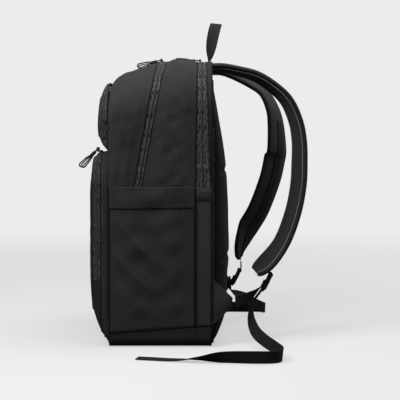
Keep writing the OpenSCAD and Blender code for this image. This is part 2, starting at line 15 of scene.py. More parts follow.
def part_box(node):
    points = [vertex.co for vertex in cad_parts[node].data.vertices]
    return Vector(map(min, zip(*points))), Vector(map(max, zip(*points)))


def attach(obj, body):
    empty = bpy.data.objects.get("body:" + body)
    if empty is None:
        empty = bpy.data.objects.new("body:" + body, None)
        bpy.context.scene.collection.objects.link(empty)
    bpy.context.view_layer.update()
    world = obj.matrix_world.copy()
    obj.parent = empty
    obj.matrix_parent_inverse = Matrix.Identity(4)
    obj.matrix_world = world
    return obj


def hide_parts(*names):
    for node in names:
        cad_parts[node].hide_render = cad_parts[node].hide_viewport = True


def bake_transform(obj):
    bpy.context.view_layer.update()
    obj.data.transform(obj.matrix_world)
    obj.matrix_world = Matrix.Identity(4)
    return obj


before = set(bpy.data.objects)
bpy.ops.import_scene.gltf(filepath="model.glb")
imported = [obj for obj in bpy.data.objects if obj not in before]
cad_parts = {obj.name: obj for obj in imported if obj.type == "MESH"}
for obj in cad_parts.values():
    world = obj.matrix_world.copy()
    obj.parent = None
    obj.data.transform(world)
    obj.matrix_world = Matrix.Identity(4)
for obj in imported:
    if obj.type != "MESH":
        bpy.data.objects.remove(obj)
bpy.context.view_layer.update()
log = logging.getLogger("backpack")

MM = 0.001
RIGHT, LEFT = 1, -1
SIDE_NAMES = {RIGHT: "right", LEFT: "left"}
WEBBING_WIDTH = 20 * MM
WEBBING_THICKNESS = 1.6 * MM
TOOTH_PITCH = 1.5 * MM
TOOTH_SIZE = (0.95 * MM, 3.4 * MM, 1.5 * MM)
COIL_HALF = 2 * MM
TAPE_THICKNESS = 1.0 * MM
TAPE_SINK = 0.7 * MM
LID_BEND = 22 * MM
FLAP_BEND = 14 * MM
Object = bpy.types.Object
Material = bpy.types.Material
Node = bpy.types.Node


# ---------- curves ----------


def spline(points: Sequence[Sequence[float]], steps: int) -> np.ndarray:
    """Smooth curve through points.

    Args:
        points: the points that the curve passes.
        steps: how many short stretches lie between two of them.

    Returns:
        One row of coordinates for each point of the curve.
    """
    p = np.asarray(points, float)
    last = len(p) - 1
    rows = []
    for k in range(last * steps + 1):
        i = min(k // steps, last - 1)
        u = k / steps - i
        a, b, c, d = p[max(i - 1, 0)], p[i], p[i + 1], p[min(i + 2, last)]
        rows.append((2 * b + (c - a) * u + (2 * a - 5 * b + 4 * c - d) * u * u
                     + (3 * b - a - 3 * c + d) * u ** 3) / 2)
    return np.array(rows)


def unit(vectors: np.ndarray) -> np.ndarray:
    """Rows of vectors, each made one long."""
    return vectors / np.maximum(np.linalg.norm(vectors, axis=-1, keepdims=True), 1e-12)


def tangents(path: np.ndarray) -> np.ndarray:
    """Direction of a path at each of its points."""
    return unit(np.gradient(path, axis=0))


def lengths(path: np.ndarray) -> np.ndarray:
    """Distance along a path at each of its points."""
    return np.concatenate([[0], np.cumsum(np.linalg.norm(np.diff(path, axis=0), axis=1))])


def facing(direction: Sequence[float], count: int) -> np.ndarray:
    """One direction, the same at each of a count of points."""
    return np.repeat(np.array([direction], float), count, 0)


def smooth(share: np.ndarray) -> np.ndarray:
    """Share from 0 to 1 that sets off and arrives gently."""
    return share * share * (3 - 2 * share)


def spaced(path: np.ndarray, pitch: float) -> np.ndarray:
    """Positions along a path, counted in its points, a pitch apart.

    Args:
        path: the points along it.
        pitch: distance between two positions.

    Returns:
        The positions.
    """
    along = lengths(path)
    count = max(int(along[-1] / pitch), 2)
    return np.interp((np.arange(count) + 0.5) * along[-1] / count, along, np.arange(len(path)))


def sampled(rows: np.ndarray, places: np.ndarray) -> np.ndarray:
    """Rows read at places between them."""
    index = np.arange(len(rows))
    return np.stack([np.interp(places, index, rows[:, k]) for k in range(rows.shape[1])], 1)


def ripple(points: np.ndarray, size: float, seed: int) -> np.ndarray:
    """Smooth irregular waves in space, from -1 to 1, the same on every run.

    Args:
        points: where the waves are read.
        size: about how long a wave is, in metres.
        seed: which set of waves.

    Returns:
        One height for each point.
    """
    draw = np.random.default_rng(seed)
    total = np.zeros(points.shape[:-1])
    for _ in range(7):
        direction = unit(draw.normal(size=3)) * draw.uniform(0.6, 1.7) * 2 * math.pi / size
        total += np.sin(points @ direction + draw.uniform(0, 2 * math.pi))
    return total / 4


# ---------- meshes ----------


def deselect() -> None:
    """Leaves nothing selected."""
    bpy.ops.object.select_all(action="DESELECT")


def only(piece: Object) -> None:
    """Leaves one object selected and active.

    Args:
        piece: the object.
    """
    deselect()
    piece.select_set(True)
    bpy.context.view_layer.objects.active = piece


def mesh_object(name: str, points: np.ndarray, faces: Sequence, uv: Optional[np.ndarray] = None) -> Object:
    """New mesh in the scene.

    Args:
        name: the piece's name.
        points: its vertices.
        faces: the vertices of each face.
        uv: cloth coordinates in metres, one pair for each vertex.

    Returns:
        The new object.
    """
    mesh = bpy.data.meshes.new(name)
    mesh.from_pydata(np.asarray(points).tolist(), [], [tuple(int(i) for i in f) for f in faces])
    if uv is not None:
        corners = np.empty(len(mesh.loops), int)
        mesh.loops.foreach_get("vertex_index", corners)
        mesh.uv_layers.new(name="cloth").data.foreach_set("uv", np.asarray(uv, float)[corners].ravel())
    mesh.polygons.foreach_set("use_smooth", [True] * len(mesh.polygons))
    piece = bpy.data.objects.new(name, mesh)
    bpy.context.scene.collection.objects.link(piece)
    return piece


def apply(piece: Object, kind: str, **values: object) -> None:
    """Adds a modifier with these values and applies it.

    Args:
        piece: the object.
        kind: the modifier's kind.
        values: its settings.
    """
    only(piece)
    modifier = piece.modifiers.new(kind.lower(), kind)
    for key, value in values.items():
        setattr(modifier, key, value)
    bpy.ops.object.modifier_apply(modifier=modifier.name)


def merge(piece: Object) -> None:
    """Joins vertices that lie together.

    Args:
        piece: the object, which keeps its name.
    """
    work = bmesh.new()
    work.from_mesh(piece.data)
    bmesh.ops.remove_doubles(work, verts=work.verts, dist=1e-6)
    work.to_mesh(piece.data)
    work.free()


def face_outwards(piece: Object) -> None:
    """Turns every face of a closed mesh to its outer side.

    Args:
        piece: the object.
    """
    only(piece)
    bpy.ops.object.mode_set(mode="EDIT")
    bpy.ops.mesh.select_all(action="SELECT")
    bpy.ops.mesh.normals_make_consistent(inside=False)
    bpy.ops.object.mode_set(mode="OBJECT")


def cloth_grid(name: str, grid: np.ndarray, inside: Sequence[float], thickness: float = 1.4 * MM) -> Object:
    """Sheet of cloth through a grid of points, with a real thickness.

    Args:
        name: the piece's name.
        grid: points in rows and columns.
        inside: a point on the sheet's inner side.
        thickness: how far the cloth reaches inwards.

    Returns:
        The new object.
    """
    rows, cols = grid.shape[:2]
    index = np.arange(rows * cols).reshape(rows, cols)
    faces = np.stack([index[:-1, :-1], index[1:, :-1], index[1:, 1:], index[:-1, 1:]], -1).reshape(-1, 4)
    points = grid.reshape(-1, 3)
    normal = np.cross(points[faces[:, 2]] - points[faces[:, 0]], points[faces[:, 3]] - points[faces[:, 1]])
    if ((points[faces].mean(1) - np.asarray(inside)) * normal).sum() < 0:
        faces = faces[:, ::-1]
    along = np.concatenate([[0], np.cumsum(np.linalg.norm(np.diff(grid, axis=0), axis=2).mean(1))])
    across = np.concatenate([[0], np.cumsum(np.linalg.norm(np.diff(grid, axis=1), axis=2).mean(0))])
    uv = np.stack(np.meshgrid(along, across, indexing="ij"), -1).reshape(-1, 2)
    piece = mesh_object(name, points, faces, uv)
    if thickness:
        apply(piece, "SOLIDIFY", thickness=thickness, offset=-1)
    return piece


def sweep(name: str, centres: np.ndarray, across: np.ndarray, up: np.ndarray, sections: np.ndarray) -> Object:
    """Closed form whose section is carried along a path.

    Args:
        name: the piece's name.
        centres: the path.
        across: direction of the section's first coordinate at each point.
        up: direction of its second coordinate.
        sections: the section's points, one set for all or one for each point of the path.

    Returns:
        The new object.
    """
    if sections.ndim == 2:
        sections = np.repeat(sections[None], len(centres), 0)
    rings = (centres[:, None] + across[:, None] * sections[..., :1] + up[:, None] * sections[..., 1:])
    rings = np.concatenate([rings, rings[:, :1]], 1)
    count = rings.shape[1]
    around = lengths(np.concatenate([sections[len(sections) // 2], sections[len(sections) // 2][:1]]))
    uv = np.stack(np.meshgrid(lengths(centres), around, indexing="ij"), -1).reshape(-1, 2)
    index = np.arange(len(centres) * count).reshape(len(centres), count)
    faces = [tuple(f) for f in np.stack(
        [index[:-1, :-1], index[:-1, 1:], index[1:, 1:], index[1:, :-1]], -1).reshape(-1, 4)]
    faces += [tuple(index[0, :-1][::-1]), tuple(index[-1, :-1])]
    piece = mesh_object(name, rings.reshape(-1, 3), faces, uv)
    merge(piece)
    face_outwards(piece)
    return piece


def frames(path: np.ndarray, up: np.ndarray) -> tuple[np.ndarray, np.ndarray]:
    """Across and up directions along a path, square to it.

    Args:
        path: the path.
        up: rough up direction at each point.

    Returns:
        The across and the up directions.
    """
    along = tangents(path)
    across = unit(np.cross(along, up))
    return across, np.cross(across, along)


def tube(name: str, path: np.ndarray, up: np.ndarray, radius: float, sides: int = 8) -> Object:
    """Round cord or piping along a path.

    Args:
        name: the piece's name.
        path: the points along it.
        up: the surface's direction at each point.
        radius: its radius.
        sides: how many sides its section has.

    Returns:
        The new object.
    """
    across, square = frames(path, up)
    turn = np.linspace(0, 2 * math.pi, sides, endpoint=False)
    return sweep(name, path, across, square, radius * np.stack([np.cos(turn), np.sin(turn)], 1))


def flat_section(width: float, thickness: float) -> np.ndarray:
    """Section of webbing: flat faces with slightly swollen, rounded edges.

    Args:
        width: the webbing's width.
        thickness: the webbing's thickness.

    Returns:
        The section's points.
    """
    w, t = width / 2, thickness / 2
    right = [(w - 2 * t, -t), (w - t, -t * 1.15), (w - 0.3 * t, -t * 0.7), (w, 0),
             (w - 0.3 * t, t * 0.7), (w - t, t * 1.15), (w - 2 * t, t)]
    inner = [(w * 0.5, t), (0, t), (-w * 0.5, t)]
    left = [(-x, z) for x, z in right[::-1]]
    return np.array(right + inner + left + [(-x, -z) for x, z in inner])


def ribbon(name: str, points: Sequence, turns: Sequence, steps: int, width: float = WEBBING_WIDTH,
           thickness: float = WEBBING_THICKNESS) -> Object:
    """Webbing along a route, with the direction of its width at each of the route's points.

    Args:
        name: the piece's name.
        points: the route.
        turns: the width's direction at each point.
        steps: how finely the route is divided.
        width: the webbing's width.
        thickness: the webbing's thickness.

    Returns:
        The new object.
    """
    path, wide = spline(points, steps), spline(turns, steps)
    along = tangents(path)
    across = unit(wide - along * (wide * along).sum(1, keepdims=True))
    return sweep(name, path, across, np.cross(along, across), flat_section(width, thickness))


def repeated(name: str, path: np.ndarray, up: np.ndarray, pitch: float, size: Sequence[float],
             pointed: bool = True) -> Object:
    """Row of small equal shapes along a path, such as stitches or coil teeth.

    Args:
        name: the piece's name.
        path: the row's line.
        up: the surface's direction at each point.
        pitch: distance between two shapes.
        size: a shape's length, width and height.
        pointed: whether a shape tapers to its ends, as a stitch does.

    Returns:
        The new object.
    """
    across, square = frames(path, up)
    places = spaced(path, pitch)
    centre, side, top = sampled(path, places), sampled(across, places), sampled(square, places)
    along = np.cross(top, side)
    a, b, c = (value / 2 for value in size)
    if pointed:
        shape = np.array([(-a, 0, 0), (0, b, 0), (0, 0, c), (0, -b, 0), (0, 0, -c), (a, 0, 0)])
        faces = [(0, 2, 1), (0, 3, 2), (0, 4, 3), (0, 1, 4), (5, 1, 2), (5, 2, 3), (5, 3, 4), (5, 4, 1)]
    else:
        shape = np.array([(x * a, y * b, z * c) for x in (-1, 1) for y in (-1, 1) for z in (-1, 1)])
        faces = [(0, 1, 3, 2), (4, 6, 7, 5), (0, 4, 5, 1), (2, 3, 7, 6), (0, 2, 6, 4), (1, 5, 7, 3)]
    points = (centre[:, None] + along[:, None] * shape[:, :1] + side[:, None] * shape[:, 1:2]
              + top[:, None] * shape[:, 2:])
    count = len(shape)
    every = [tuple(i + k * count for i in f) for k in range(len(centre)) for f in faces]
    piece = mesh_object(name, points.reshape(-1, 3), every)
    face_outwards(piece)
    return piece


def joined(name: str, pieces: Sequence[Object]) -> Object:
    """Several objects made into one.

    Args:
        name: the new object's name.
        pieces: the objects.

    Returns:
        The first of them, which now holds all.
    """
    deselect()
    for piece in pieces:
        piece.select_set(True)
    bpy.context.view_layer.objects.active = pieces[0]
    if len(pieces) > 1:
        bpy.ops.object.join()
    pieces[0].name = name
    pieces[0].data.name = name
    return pieces[0]


def normals(grid: np.ndarray, inside: Sequence[float]) -> np.ndarray:
    """Outward direction at each point of a grid.

    Args:
        grid: points in rows and columns.
        inside: a point on the inner side.

    Returns:
        One direction for each point.
    """
    out = unit(np.cross(np.gradient(grid, axis=0), np.gradient(grid, axis=1)))
    flip = ((grid - np.asarray(inside)) * out).sum() < 0
    return -out if flip else out


def fade(count: int, share: float) -> np.ndarray:
    """Weights that rise from 0 at both ends to 1 over a share of the count.

    Args:
        count: how many weights.
        share: the share that each end takes.

    Returns:
        One weight for each place.
    """
    place = np.linspace(0, 1, count)
    near = np.clip(np.minimum(place, 1 - place) / share, 0, 1)
    return smooth(near)


def crumpled(grid: np.ndarray, inside: Sequence[float], crown: float, waves: float, size: float,
             seed: int, hold: tuple[float, float] = (0.3, 0.12)) -> np.ndarray:
    """A panel puffed out between its seams and rumpled as worn cloth is.

    Args:
        grid: points in rows and columns.
        inside: a point on the panel's inner side.
        crown: how far the middle stands out.
        waves: height of the rumples.
        size: about how long they are.
        seed: which set of waves.
        hold: shares of the rows and columns over which the seams hold it flat.

    Returns:
        The moved grid.
    """
    weight = fade(grid.shape[0], hold[0])[:, None] * fade(grid.shape[1], hold[1])[None]
    lift = crown + waves * (ripple(grid, size, seed) + 0.4 * ripple(grid, size / 3, seed + 1))
    return grid + normals(grid, inside) * (weight * lift)[..., None]


# ---------- finishes ----------


class Weave(Enum):
    """How a cloth's threads lie."""

    PLAIN = 0.0
    TWILL = 1.0


def socket(group: bpy.types.NodeTree, name: str, kind: str, output: bool = False, value: float = 0) -> None:
    """Adds a named socket to a node group.

    Args:
        group: the node group.
        name: the socket's name.
        kind: kind of its values.
        output: whether it gives a value or takes one.
        value: its value when nothing is linked.
    """
    made = group.interface.new_socket(name=name, in_out="OUTPUT" if output else "INPUT",
                                      socket_type="NodeSocket" + kind)
    if kind == "Float" and not output:
        made.default_value = value


class Nodes:
    """Short way to place and link shader nodes."""

    def __init__(self, tree: bpy.types.NodeTree) -> None:
        """Keeps the tree that the nodes go in."""
        self.tree = tree

    def add(self, kind: str, **settings: object) -> Node:
        """New node with these settings.

        Args:
            kind: the node's kind.
            settings: its settings.

        Returns:
            The node.
        """
        node = self.tree.nodes.new("ShaderNode" + kind)
        for key, value in settings.items():
            setattr(node, key, value)
        return node

    def link(self, source: object, target: object) -> None:
        """Links an output to an input."""
        self.tree.links.new(source, target)

    def math(self, operation: str, a: object, b: object = 0.0) -> object:
        """Result of a sum, product or other operation on two values or outputs.

        Args:
            operation: the operation's name.
            a: the first value or output.
            b: the second.

        Returns:
            The result's output.
        """
        node = self.add("Math", operation=operation)
        for place, value in zip(node.inputs, (a, b)):
            if isinstance(value, (int, float)):
                place.default_value = value
            else:
                self.link(value, place)
        return node.outputs[0]

    def noise(self, vector: object, scale: float, detail: float = 2.0) -> object:
        """Noise of a scale, from 0 to 1.

        Args:
            vector: where it is read.
            scale: how fine it is.
            detail: how many finer layers it has.

        Returns:
            The noise's output.
        """
        node = self.add("TexNoise")
        node.inputs["Scale"].default_value = scale
        node.inputs["Detail"].default_value = detail
        self.link(vector, node.inputs["Vector"])
        return node.outputs["Fac"]

    def blend(self, factor: object, low: Sequence[float], high: Sequence[float]) -> object:
        """Colour between two, by a factor.

        Args:
            factor: the share of the second colour.
            low: colour at 0.
            high: colour at 1.

        Returns:
            The colour's output.
        """
        node = self.add("Mix", data_type="RGBA")
        node.inputs["A"].default_value = (*low, 1)
        node.inputs["B"].default_value = (*high, 1)
        self.link(factor, node.inputs["Factor"])
        return node.outputs["Result"]


def woven_group() -> bpy.types.NodeTree:
    """Shared effect: threads that cross, as a height, with thick and thin places as a tone.

    Returns:
        The node group.
    """
    found = bpy.data.node_groups.get("crossing threads")
    if found:
        return found
    group = bpy.data.node_groups.new("crossing threads", "ShaderNodeTree")
    socket(group, "Cloth", "Vector")
    socket(group, "Threads", "Float", value=900)
    socket(group, "Twill", "Float")
    socket(group, "Height", "Float", output=True)
    socket(group, "Slub", "Float", output=True)
    n = Nodes(group)
    given, out = group.nodes.new("NodeGroupInput"), group.nodes.new("NodeGroupOutput")
    scaled = n.add("VectorMath", operation="SCALE")
    n.link(given.outputs["Cloth"], scaled.inputs[0])
    n.link(given.outputs["Threads"], scaled.inputs["Scale"])
    parts = n.add("SeparateXYZ")
    n.link(scaled.outputs[0], parts.inputs[0])
    turn = 2 * math.pi
    u, v = (n.math("MULTIPLY", parts.outputs[k], turn) for k in (0, 1))
    plain = n.math("MULTIPLY", n.math("SINE", u), n.math("SINE", v))
    twill = n.math("SINE", n.math("ADD", n.math("MULTIPLY", u, 0.5), n.math("MULTIPLY", v, 0.5)))
    gap = n.math("SUBTRACT", twill, plain)
    mixed = n.math("ADD", plain, n.math("MULTIPLY", gap, given.outputs["Twill"]))
    n.link(n.math("MULTIPLY_ADD", mixed, 0.5), out.inputs["Height"])
    stretched = n.add("VectorMath", operation="MULTIPLY")
    n.link(scaled.outputs[0], stretched.inputs[0])
    stretched.inputs[1].default_value = (0.14, 0.5, 1)
    n.link(n.noise(stretched.outputs[0], 1.0, 3.0), out.inputs["Slub"])
    return group


def wear_group() -> bpy.types.NodeTree:
    """Shared effect: slow changes of tone over a piece, from 0 to 1, as handling leaves.

    Returns:
        The node group.
    """
    found = bpy.data.node_groups.get("handled tone")
    if found:
        return found
    group = bpy.data.node_groups.new("handled tone", "ShaderNodeTree")
    socket(group, "Place", "Vector")
    socket(group, "Tone", "Float", output=True)
    n = Nodes(group)
    given, out = group.nodes.new("NodeGroupInput"), group.nodes.new("NodeGroupOutput")
    wide, fine = n.noise(given.outputs[0], 14, 3), n.noise(given.outputs[0], 220, 2)
    n.link(n.math("ADD", n.math("MULTIPLY", wide, 0.6), n.math("MULTIPLY", fine, 0.4)), out.inputs[0])
    return group


class Finish:
    """What every finish shares: a material with a colour, a roughness and a relief."""

    @staticmethod
    def started(name: str, roughness: float, specular: float,
                sheen: float = 0.0) -> tuple[Material, Nodes, Node]:
        """New material with its constants set on the shader.

        Args:
            name: the material's name.
            roughness: the shader's roughness.
            specular: its specular level.
            sheen: its sheen.

        Returns:
            The material, a node maker for its tree, and its shader node.
        """
        material = bpy.data.materials.new(name)
        material.use_nodes = True
        shader = material.node_tree.nodes["Principled BSDF"]
        shader.inputs["Roughness"].default_value = roughness
        shader.inputs["Specular IOR Level"].default_value = specular
        shader.inputs["Sheen Weight"].default_value = sheen
        return material, Nodes(material.node_tree), shader

    @staticmethod
    def relief(n: Nodes, shader: Node, height: object, distance: float, strength: float = 1.0) -> None:
        """Feeds a height to the shader as a bump.

        Args:
            n: node maker for the material's tree.
            shader: the material's shader.
            height: the height.
            distance: how high the relief is, in metres.
            strength: its strength.
        """
        bump = n.add("Bump")
        bump.inputs["Distance"].default_value = distance
        bump.inputs["Strength"].default_value = strength
        n.link(height, bump.inputs["Height"])
        n.link(bump.outputs[0], shader.inputs["Normal"])


@dataclass(frozen=True)
class Cloth(Finish):
    """Woven cloth, webbing or zipper tape."""

    name: str
    tone: float
    weave: Weave = Weave.PLAIN
    threads: float = 1100
    depth: float = 0.25 * MM
    flecks: float = 0.25
    roughness: float = 0.85
    spread: float = 0.4

    def material(self) -> Material:
        """The material, made once.

        Returns:
            The material.
        """
        found = bpy.data.materials.get(self.name)
        if found:
            return found
        material, n, shader = self.started(self.name, self.roughness, 0.18, 0.02)
        place = n.add("TexCoord")
        woven = n.add("Group", node_tree=woven_group())
        woven.inputs["Threads"].default_value = self.threads
        woven.inputs["Twill"].default_value = self.weave.value
        n.link(place.outputs["UV"], woven.inputs["Cloth"])
        worn = n.add("Group", node_tree=wear_group())
        n.link(place.outputs["Object"], worn.inputs["Place"])
        fleck = n.math("MULTIPLY", n.math("SUBTRACT", woven.outputs["Slub"], 0.5), 4 * self.flecks)
        thread = n.math("MULTIPLY", woven.outputs["Height"], 0.25)
        tone = n.math("ADD", n.math("ADD", worn.outputs["Tone"], fleck), thread)
        dark, light = self.tone * (1 - self.spread), self.tone * (1 + self.spread)
        n.link(n.blend(tone, (dark, dark, dark * 1.03), (light, light, light * 1.03)),
               shader.inputs["Base Color"])
        self.relief(n, shader, n.math("ADD", woven.outputs["Height"], woven.outputs["Slub"]), self.depth)
        return material


@dataclass(frozen=True)
class SpacerMesh(Finish):
    """Thick knitted mesh with fine ribs and rows of small holes."""

    name: str
    tone: float
    rib: float = 3.6 * MM

    def material(self) -> Material:
        """The material, made once.

        Returns:
            The material.
        """
        found = bpy.data.materials.get(self.name)
        if found:
            return found
        material, n, shader = self.started(self.name, 0.9, 0.12, 0.05)
        place = n.add("TexCoord")
        parts = n.add("SeparateXYZ")
        n.link(place.outputs["UV"], parts.inputs[0])
        turn = 2 * math.pi / self.rib
        ribs = n.math("SINE", n.math("MULTIPLY", parts.outputs[0], turn))
        loops = n.math("SINE", n.math("MULTIPLY", parts.outputs[1], turn * 0.8))
        ribbed = n.math("MULTIPLY", ribs, 0.6)
        looped = n.math("MULTIPLY", n.math("MULTIPLY", ribs, loops), 0.5)
        knit = n.math("ADD", ribbed, looped)
        worn = n.add("Group", node_tree=wear_group())
        n.link(place.outputs["Object"], worn.inputs["Place"])
        tone = n.math("ADD", n.math("MULTIPLY", knit, 0.5), worn.outputs["Tone"])
        dark, light = self.tone * 0.5, self.tone * 1.5
        n.link(n.blend(tone, (dark, dark, dark * 1.08), (light, light, light * 1.08)),
               shader.inputs["Base Color"])
        self.relief(n, shader, knit, 0.5 * MM)
        return material


@dataclass(frozen=True)
class Moulded(Finish):
    """Moulded plastic or painted metal with a fine grain."""

    name: str
    tone: float
    roughness: float = 0.45
    grain: float = 0.06 * MM

    def material(self) -> Material:
        """The material, made once.

        Returns:
            The material.
        """
        found = bpy.data.materials.get(self.name)
        if found:
            return found
        material, n, shader = self.started(self.name, self.roughness, 0.4)
        place = n.add("TexCoord")
        worn = n.add("Group", node_tree=wear_group())
        n.link(place.outputs["Object"], worn.inputs["Place"])
        dark, light = self.tone * 0.7, self.tone * 1.4
        n.link(n.blend(worn.outputs["Tone"], (dark,) * 3, (light,) * 3), shader.inputs["Base Color"])
        self.relief(n, shader, n.noise(place.outputs["Object"], 2600, 2), self.grain)
        return material


BODY_CLOTH = Cloth("body cloth", 0.024, Weave.TWILL, 900, 0.22 * MM, 0.3)
SMOOTH_CLOTH = Cloth("smooth gusset cloth", 0.029, Weave.PLAIN, 1600, 0.1 * MM, 0.12, 0.8)
BASE_CLOTH = Cloth("base cloth", 0.017, Weave.PLAIN, 800, 0.28 * MM, 0.22)
TAB_CLOTH = Cloth("corner tab cloth", 0.036, Weave.PLAIN, 800, 0.28 * MM, 0.3)
TAPE_CLOTH = Cloth("zipper tape", 0.046, Weave.TWILL, 900, 0.35 * MM, 2.0, spread=0.8)
POCKET_TAPE = Cloth("pocket zipper tape", 0.034, Weave.TWILL, 900, 0.35 * MM, 2.0, spread=0.75)
COIL_NYLON = Moulded("zipper coil nylon", 0.032, 0.5)
WEBBING_CLOTH = Cloth("webbing weave", 0.009, Weave.TWILL, 560, 0.35 * MM, 0.3, 0.75)
THREAD = Cloth("sewing thread", 0.03, Weave.TWILL, 2500, 0.05 * MM, 0.1, 0.7)
# Bright thread of the back pad's chain stitch; the same bright tone on the straps' seam lines is a painted
# highlight.
THREAD_AND_STRAP_HIGHLIGHT = Cloth("chain stitch thread and painted strap highlight", 0.16, Weave.TWILL, 2500, 0.05 * MM, 0.2, 0.6)
# Near-black tone for the seam tubes, welts and stitch lines: painted shade along the seams and beside the
# sunk tapes.
SEAM_SHADE = Cloth("painted seam shade", 0.005, Weave.TWILL, 1500, 0.1 * MM, 0.1)
MESH_CLOTH = SpacerMesh("spacer mesh", 0.020)
LINING = Cloth("lining cloth", 0.045, Weave.PLAIN, 1500, 0.08 * MM, 0.1, 0.7)
BUCKLE = Moulded("buckle plastic", 0.010, 0.42)
SLIDER_PAINT = Moulded("painted slider", 0.012, 0.35, 0.02 * MM)
PULL_RUBBER = Moulded("pull rubber", 0.016, 0.6)
BOARD = Moulded("stiffener board", 0.25, 0.5)


def dressed(piece: Object, body: str, finish: Finish, slot: str, *nodes: str) -> Object:
    """Gives a finished piece its material and body, and hides the nodes that it stands for.

    Args:
        piece: the finished mesh.
        body: the body that it rides on.
        finish: its finish.
        slot: not used.
        nodes: construction nodes that it replaces.

    Returns:
        The same piece.
    """
    piece.data.materials.clear()
    piece.data.materials.append(finish.material())
    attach(piece, body)
    if nodes:
        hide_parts(*nodes)
    log.info("%s: %d faces on %s", piece.name, len(piece.data.polygons), body)
    return piece


def bent(piece: Object, finish: Finish, slot: str, child: str, low: float, high: float,
         *nodes: str) -> Object:
    """Dresses a piece that reaches from the bag onto one of its opening parts: gives it its material, hides
    its nodes and fixes its place in world space.

    Args:
        piece: the finished mesh.
        finish: its finish.
        slot: not used.
        child: the opening part that it reaches, named in the log.
        low: not used.
        high: not used.
        nodes: construction nodes that it replaces.

    Returns:
        The same piece.
    """
    piece.data.materials.clear()
    piece.data.materials.append(finish.material())
    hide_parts(*nodes)
    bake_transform(piece)
    log.info("%s: %d faces, bends from bag to %s", piece.name, len(piece.data.polygons), child)
    return piece


# ---------- shared forms of the bag's panels ----------


class Part:
    """Names of the stretches of an arch's outline, from its foot to its crown."""

    FOOT, FOOT_CORNER, SIDE, TOP_CORNER, TOP = range(5)


def arch_path(parts: Sequence[int], counts: Sequence[int]) -> np.ndarray:
    """Outline of an arch as stretches and shares of them, right half and then left half.

    Args:
        parts: the stretches in order, from the foot up.
        counts: how many points each takes.

    Returns:
        Rows of stretch, share and hand.
    """
    right = [(part, share, 1) for part, count in zip(parts, counts)
             for share in np.linspace(0, 1, count, endpoint=False)]
    right.append((parts[-1], 1.0, 1))
    left = [(part, share, -1) for part, share, _ in right[::-1]]
    return np.array(right + left[1:])


def arch_at(path: np.ndarray, half: np.ndarray, low: np.ndarray, high: np.ndarray,
            top_r: np.ndarray, foot_r: float) -> tuple[np.ndarray, np.ndarray]:
    """X and Z of an arch's outline.

    Args:
        path: stretches, shares and hands, from arch_path.
        half: half of the width.
        low: height of the foot.
        high: height of the crown.
        top_r: radius of the upper corners.
        foot_r: radius of the lower corners.

    Returns:
        The two coordinates of each point.
    """
    part, share, hand = path.T
    turn = share * math.pi / 2
    zero = 0 * share
    x = np.select(
        [part == Part.FOOT, part == Part.FOOT_CORNER, part == Part.SIDE, part == Part.TOP_CORNER],
        [(half - foot_r) * share, half - foot_r + foot_r * np.sin(turn), half + zero,
         half - top_r + top_r * np.cos(turn)], (half - top_r) * (1 - share))
    z = np.select(
        [part == Part.FOOT, part == Part.FOOT_CORNER, part == Part.SIDE, part == Part.TOP_CORNER],
        [low + zero, low + foot_r - foot_r * np.cos(turn),
         low + foot_r + (high - top_r - low - foot_r) * share,
         high - top_r + top_r * np.sin(turn)], high + zero)
    return hand * x, z


def cut(piece: Object, name: str, height: float, above: bool) -> Object:
    """Copy of a piece with only what lies above or below a height.

    Args:
        piece: the object.
        name: the copy's name.
        height: the height.
        above: whether what lies above it stays.

    Returns:
        The copy.
    """
    copy = piece.copy()
    copy.data = piece.data.copy()
    copy.name = copy.data.name = name
    bpy.context.scene.collection.objects.link(copy)
    work = bmesh.new()
    work.from_mesh(copy.data)
    bmesh.ops.bisect_plane(work, geom=work.verts[:] + work.edges[:] + work.faces[:],
                           plane_co=(0, 0, height), plane_no=(0, 0, 1),
                           clear_inner=above, clear_outer=not above)
    work.to_mesh(copy.data)
    work.free()
    return copy


def remove(piece: Object) -> None:
    """Takes an object that was only a step out of the scene."""
    bpy.data.objects.remove(piece)


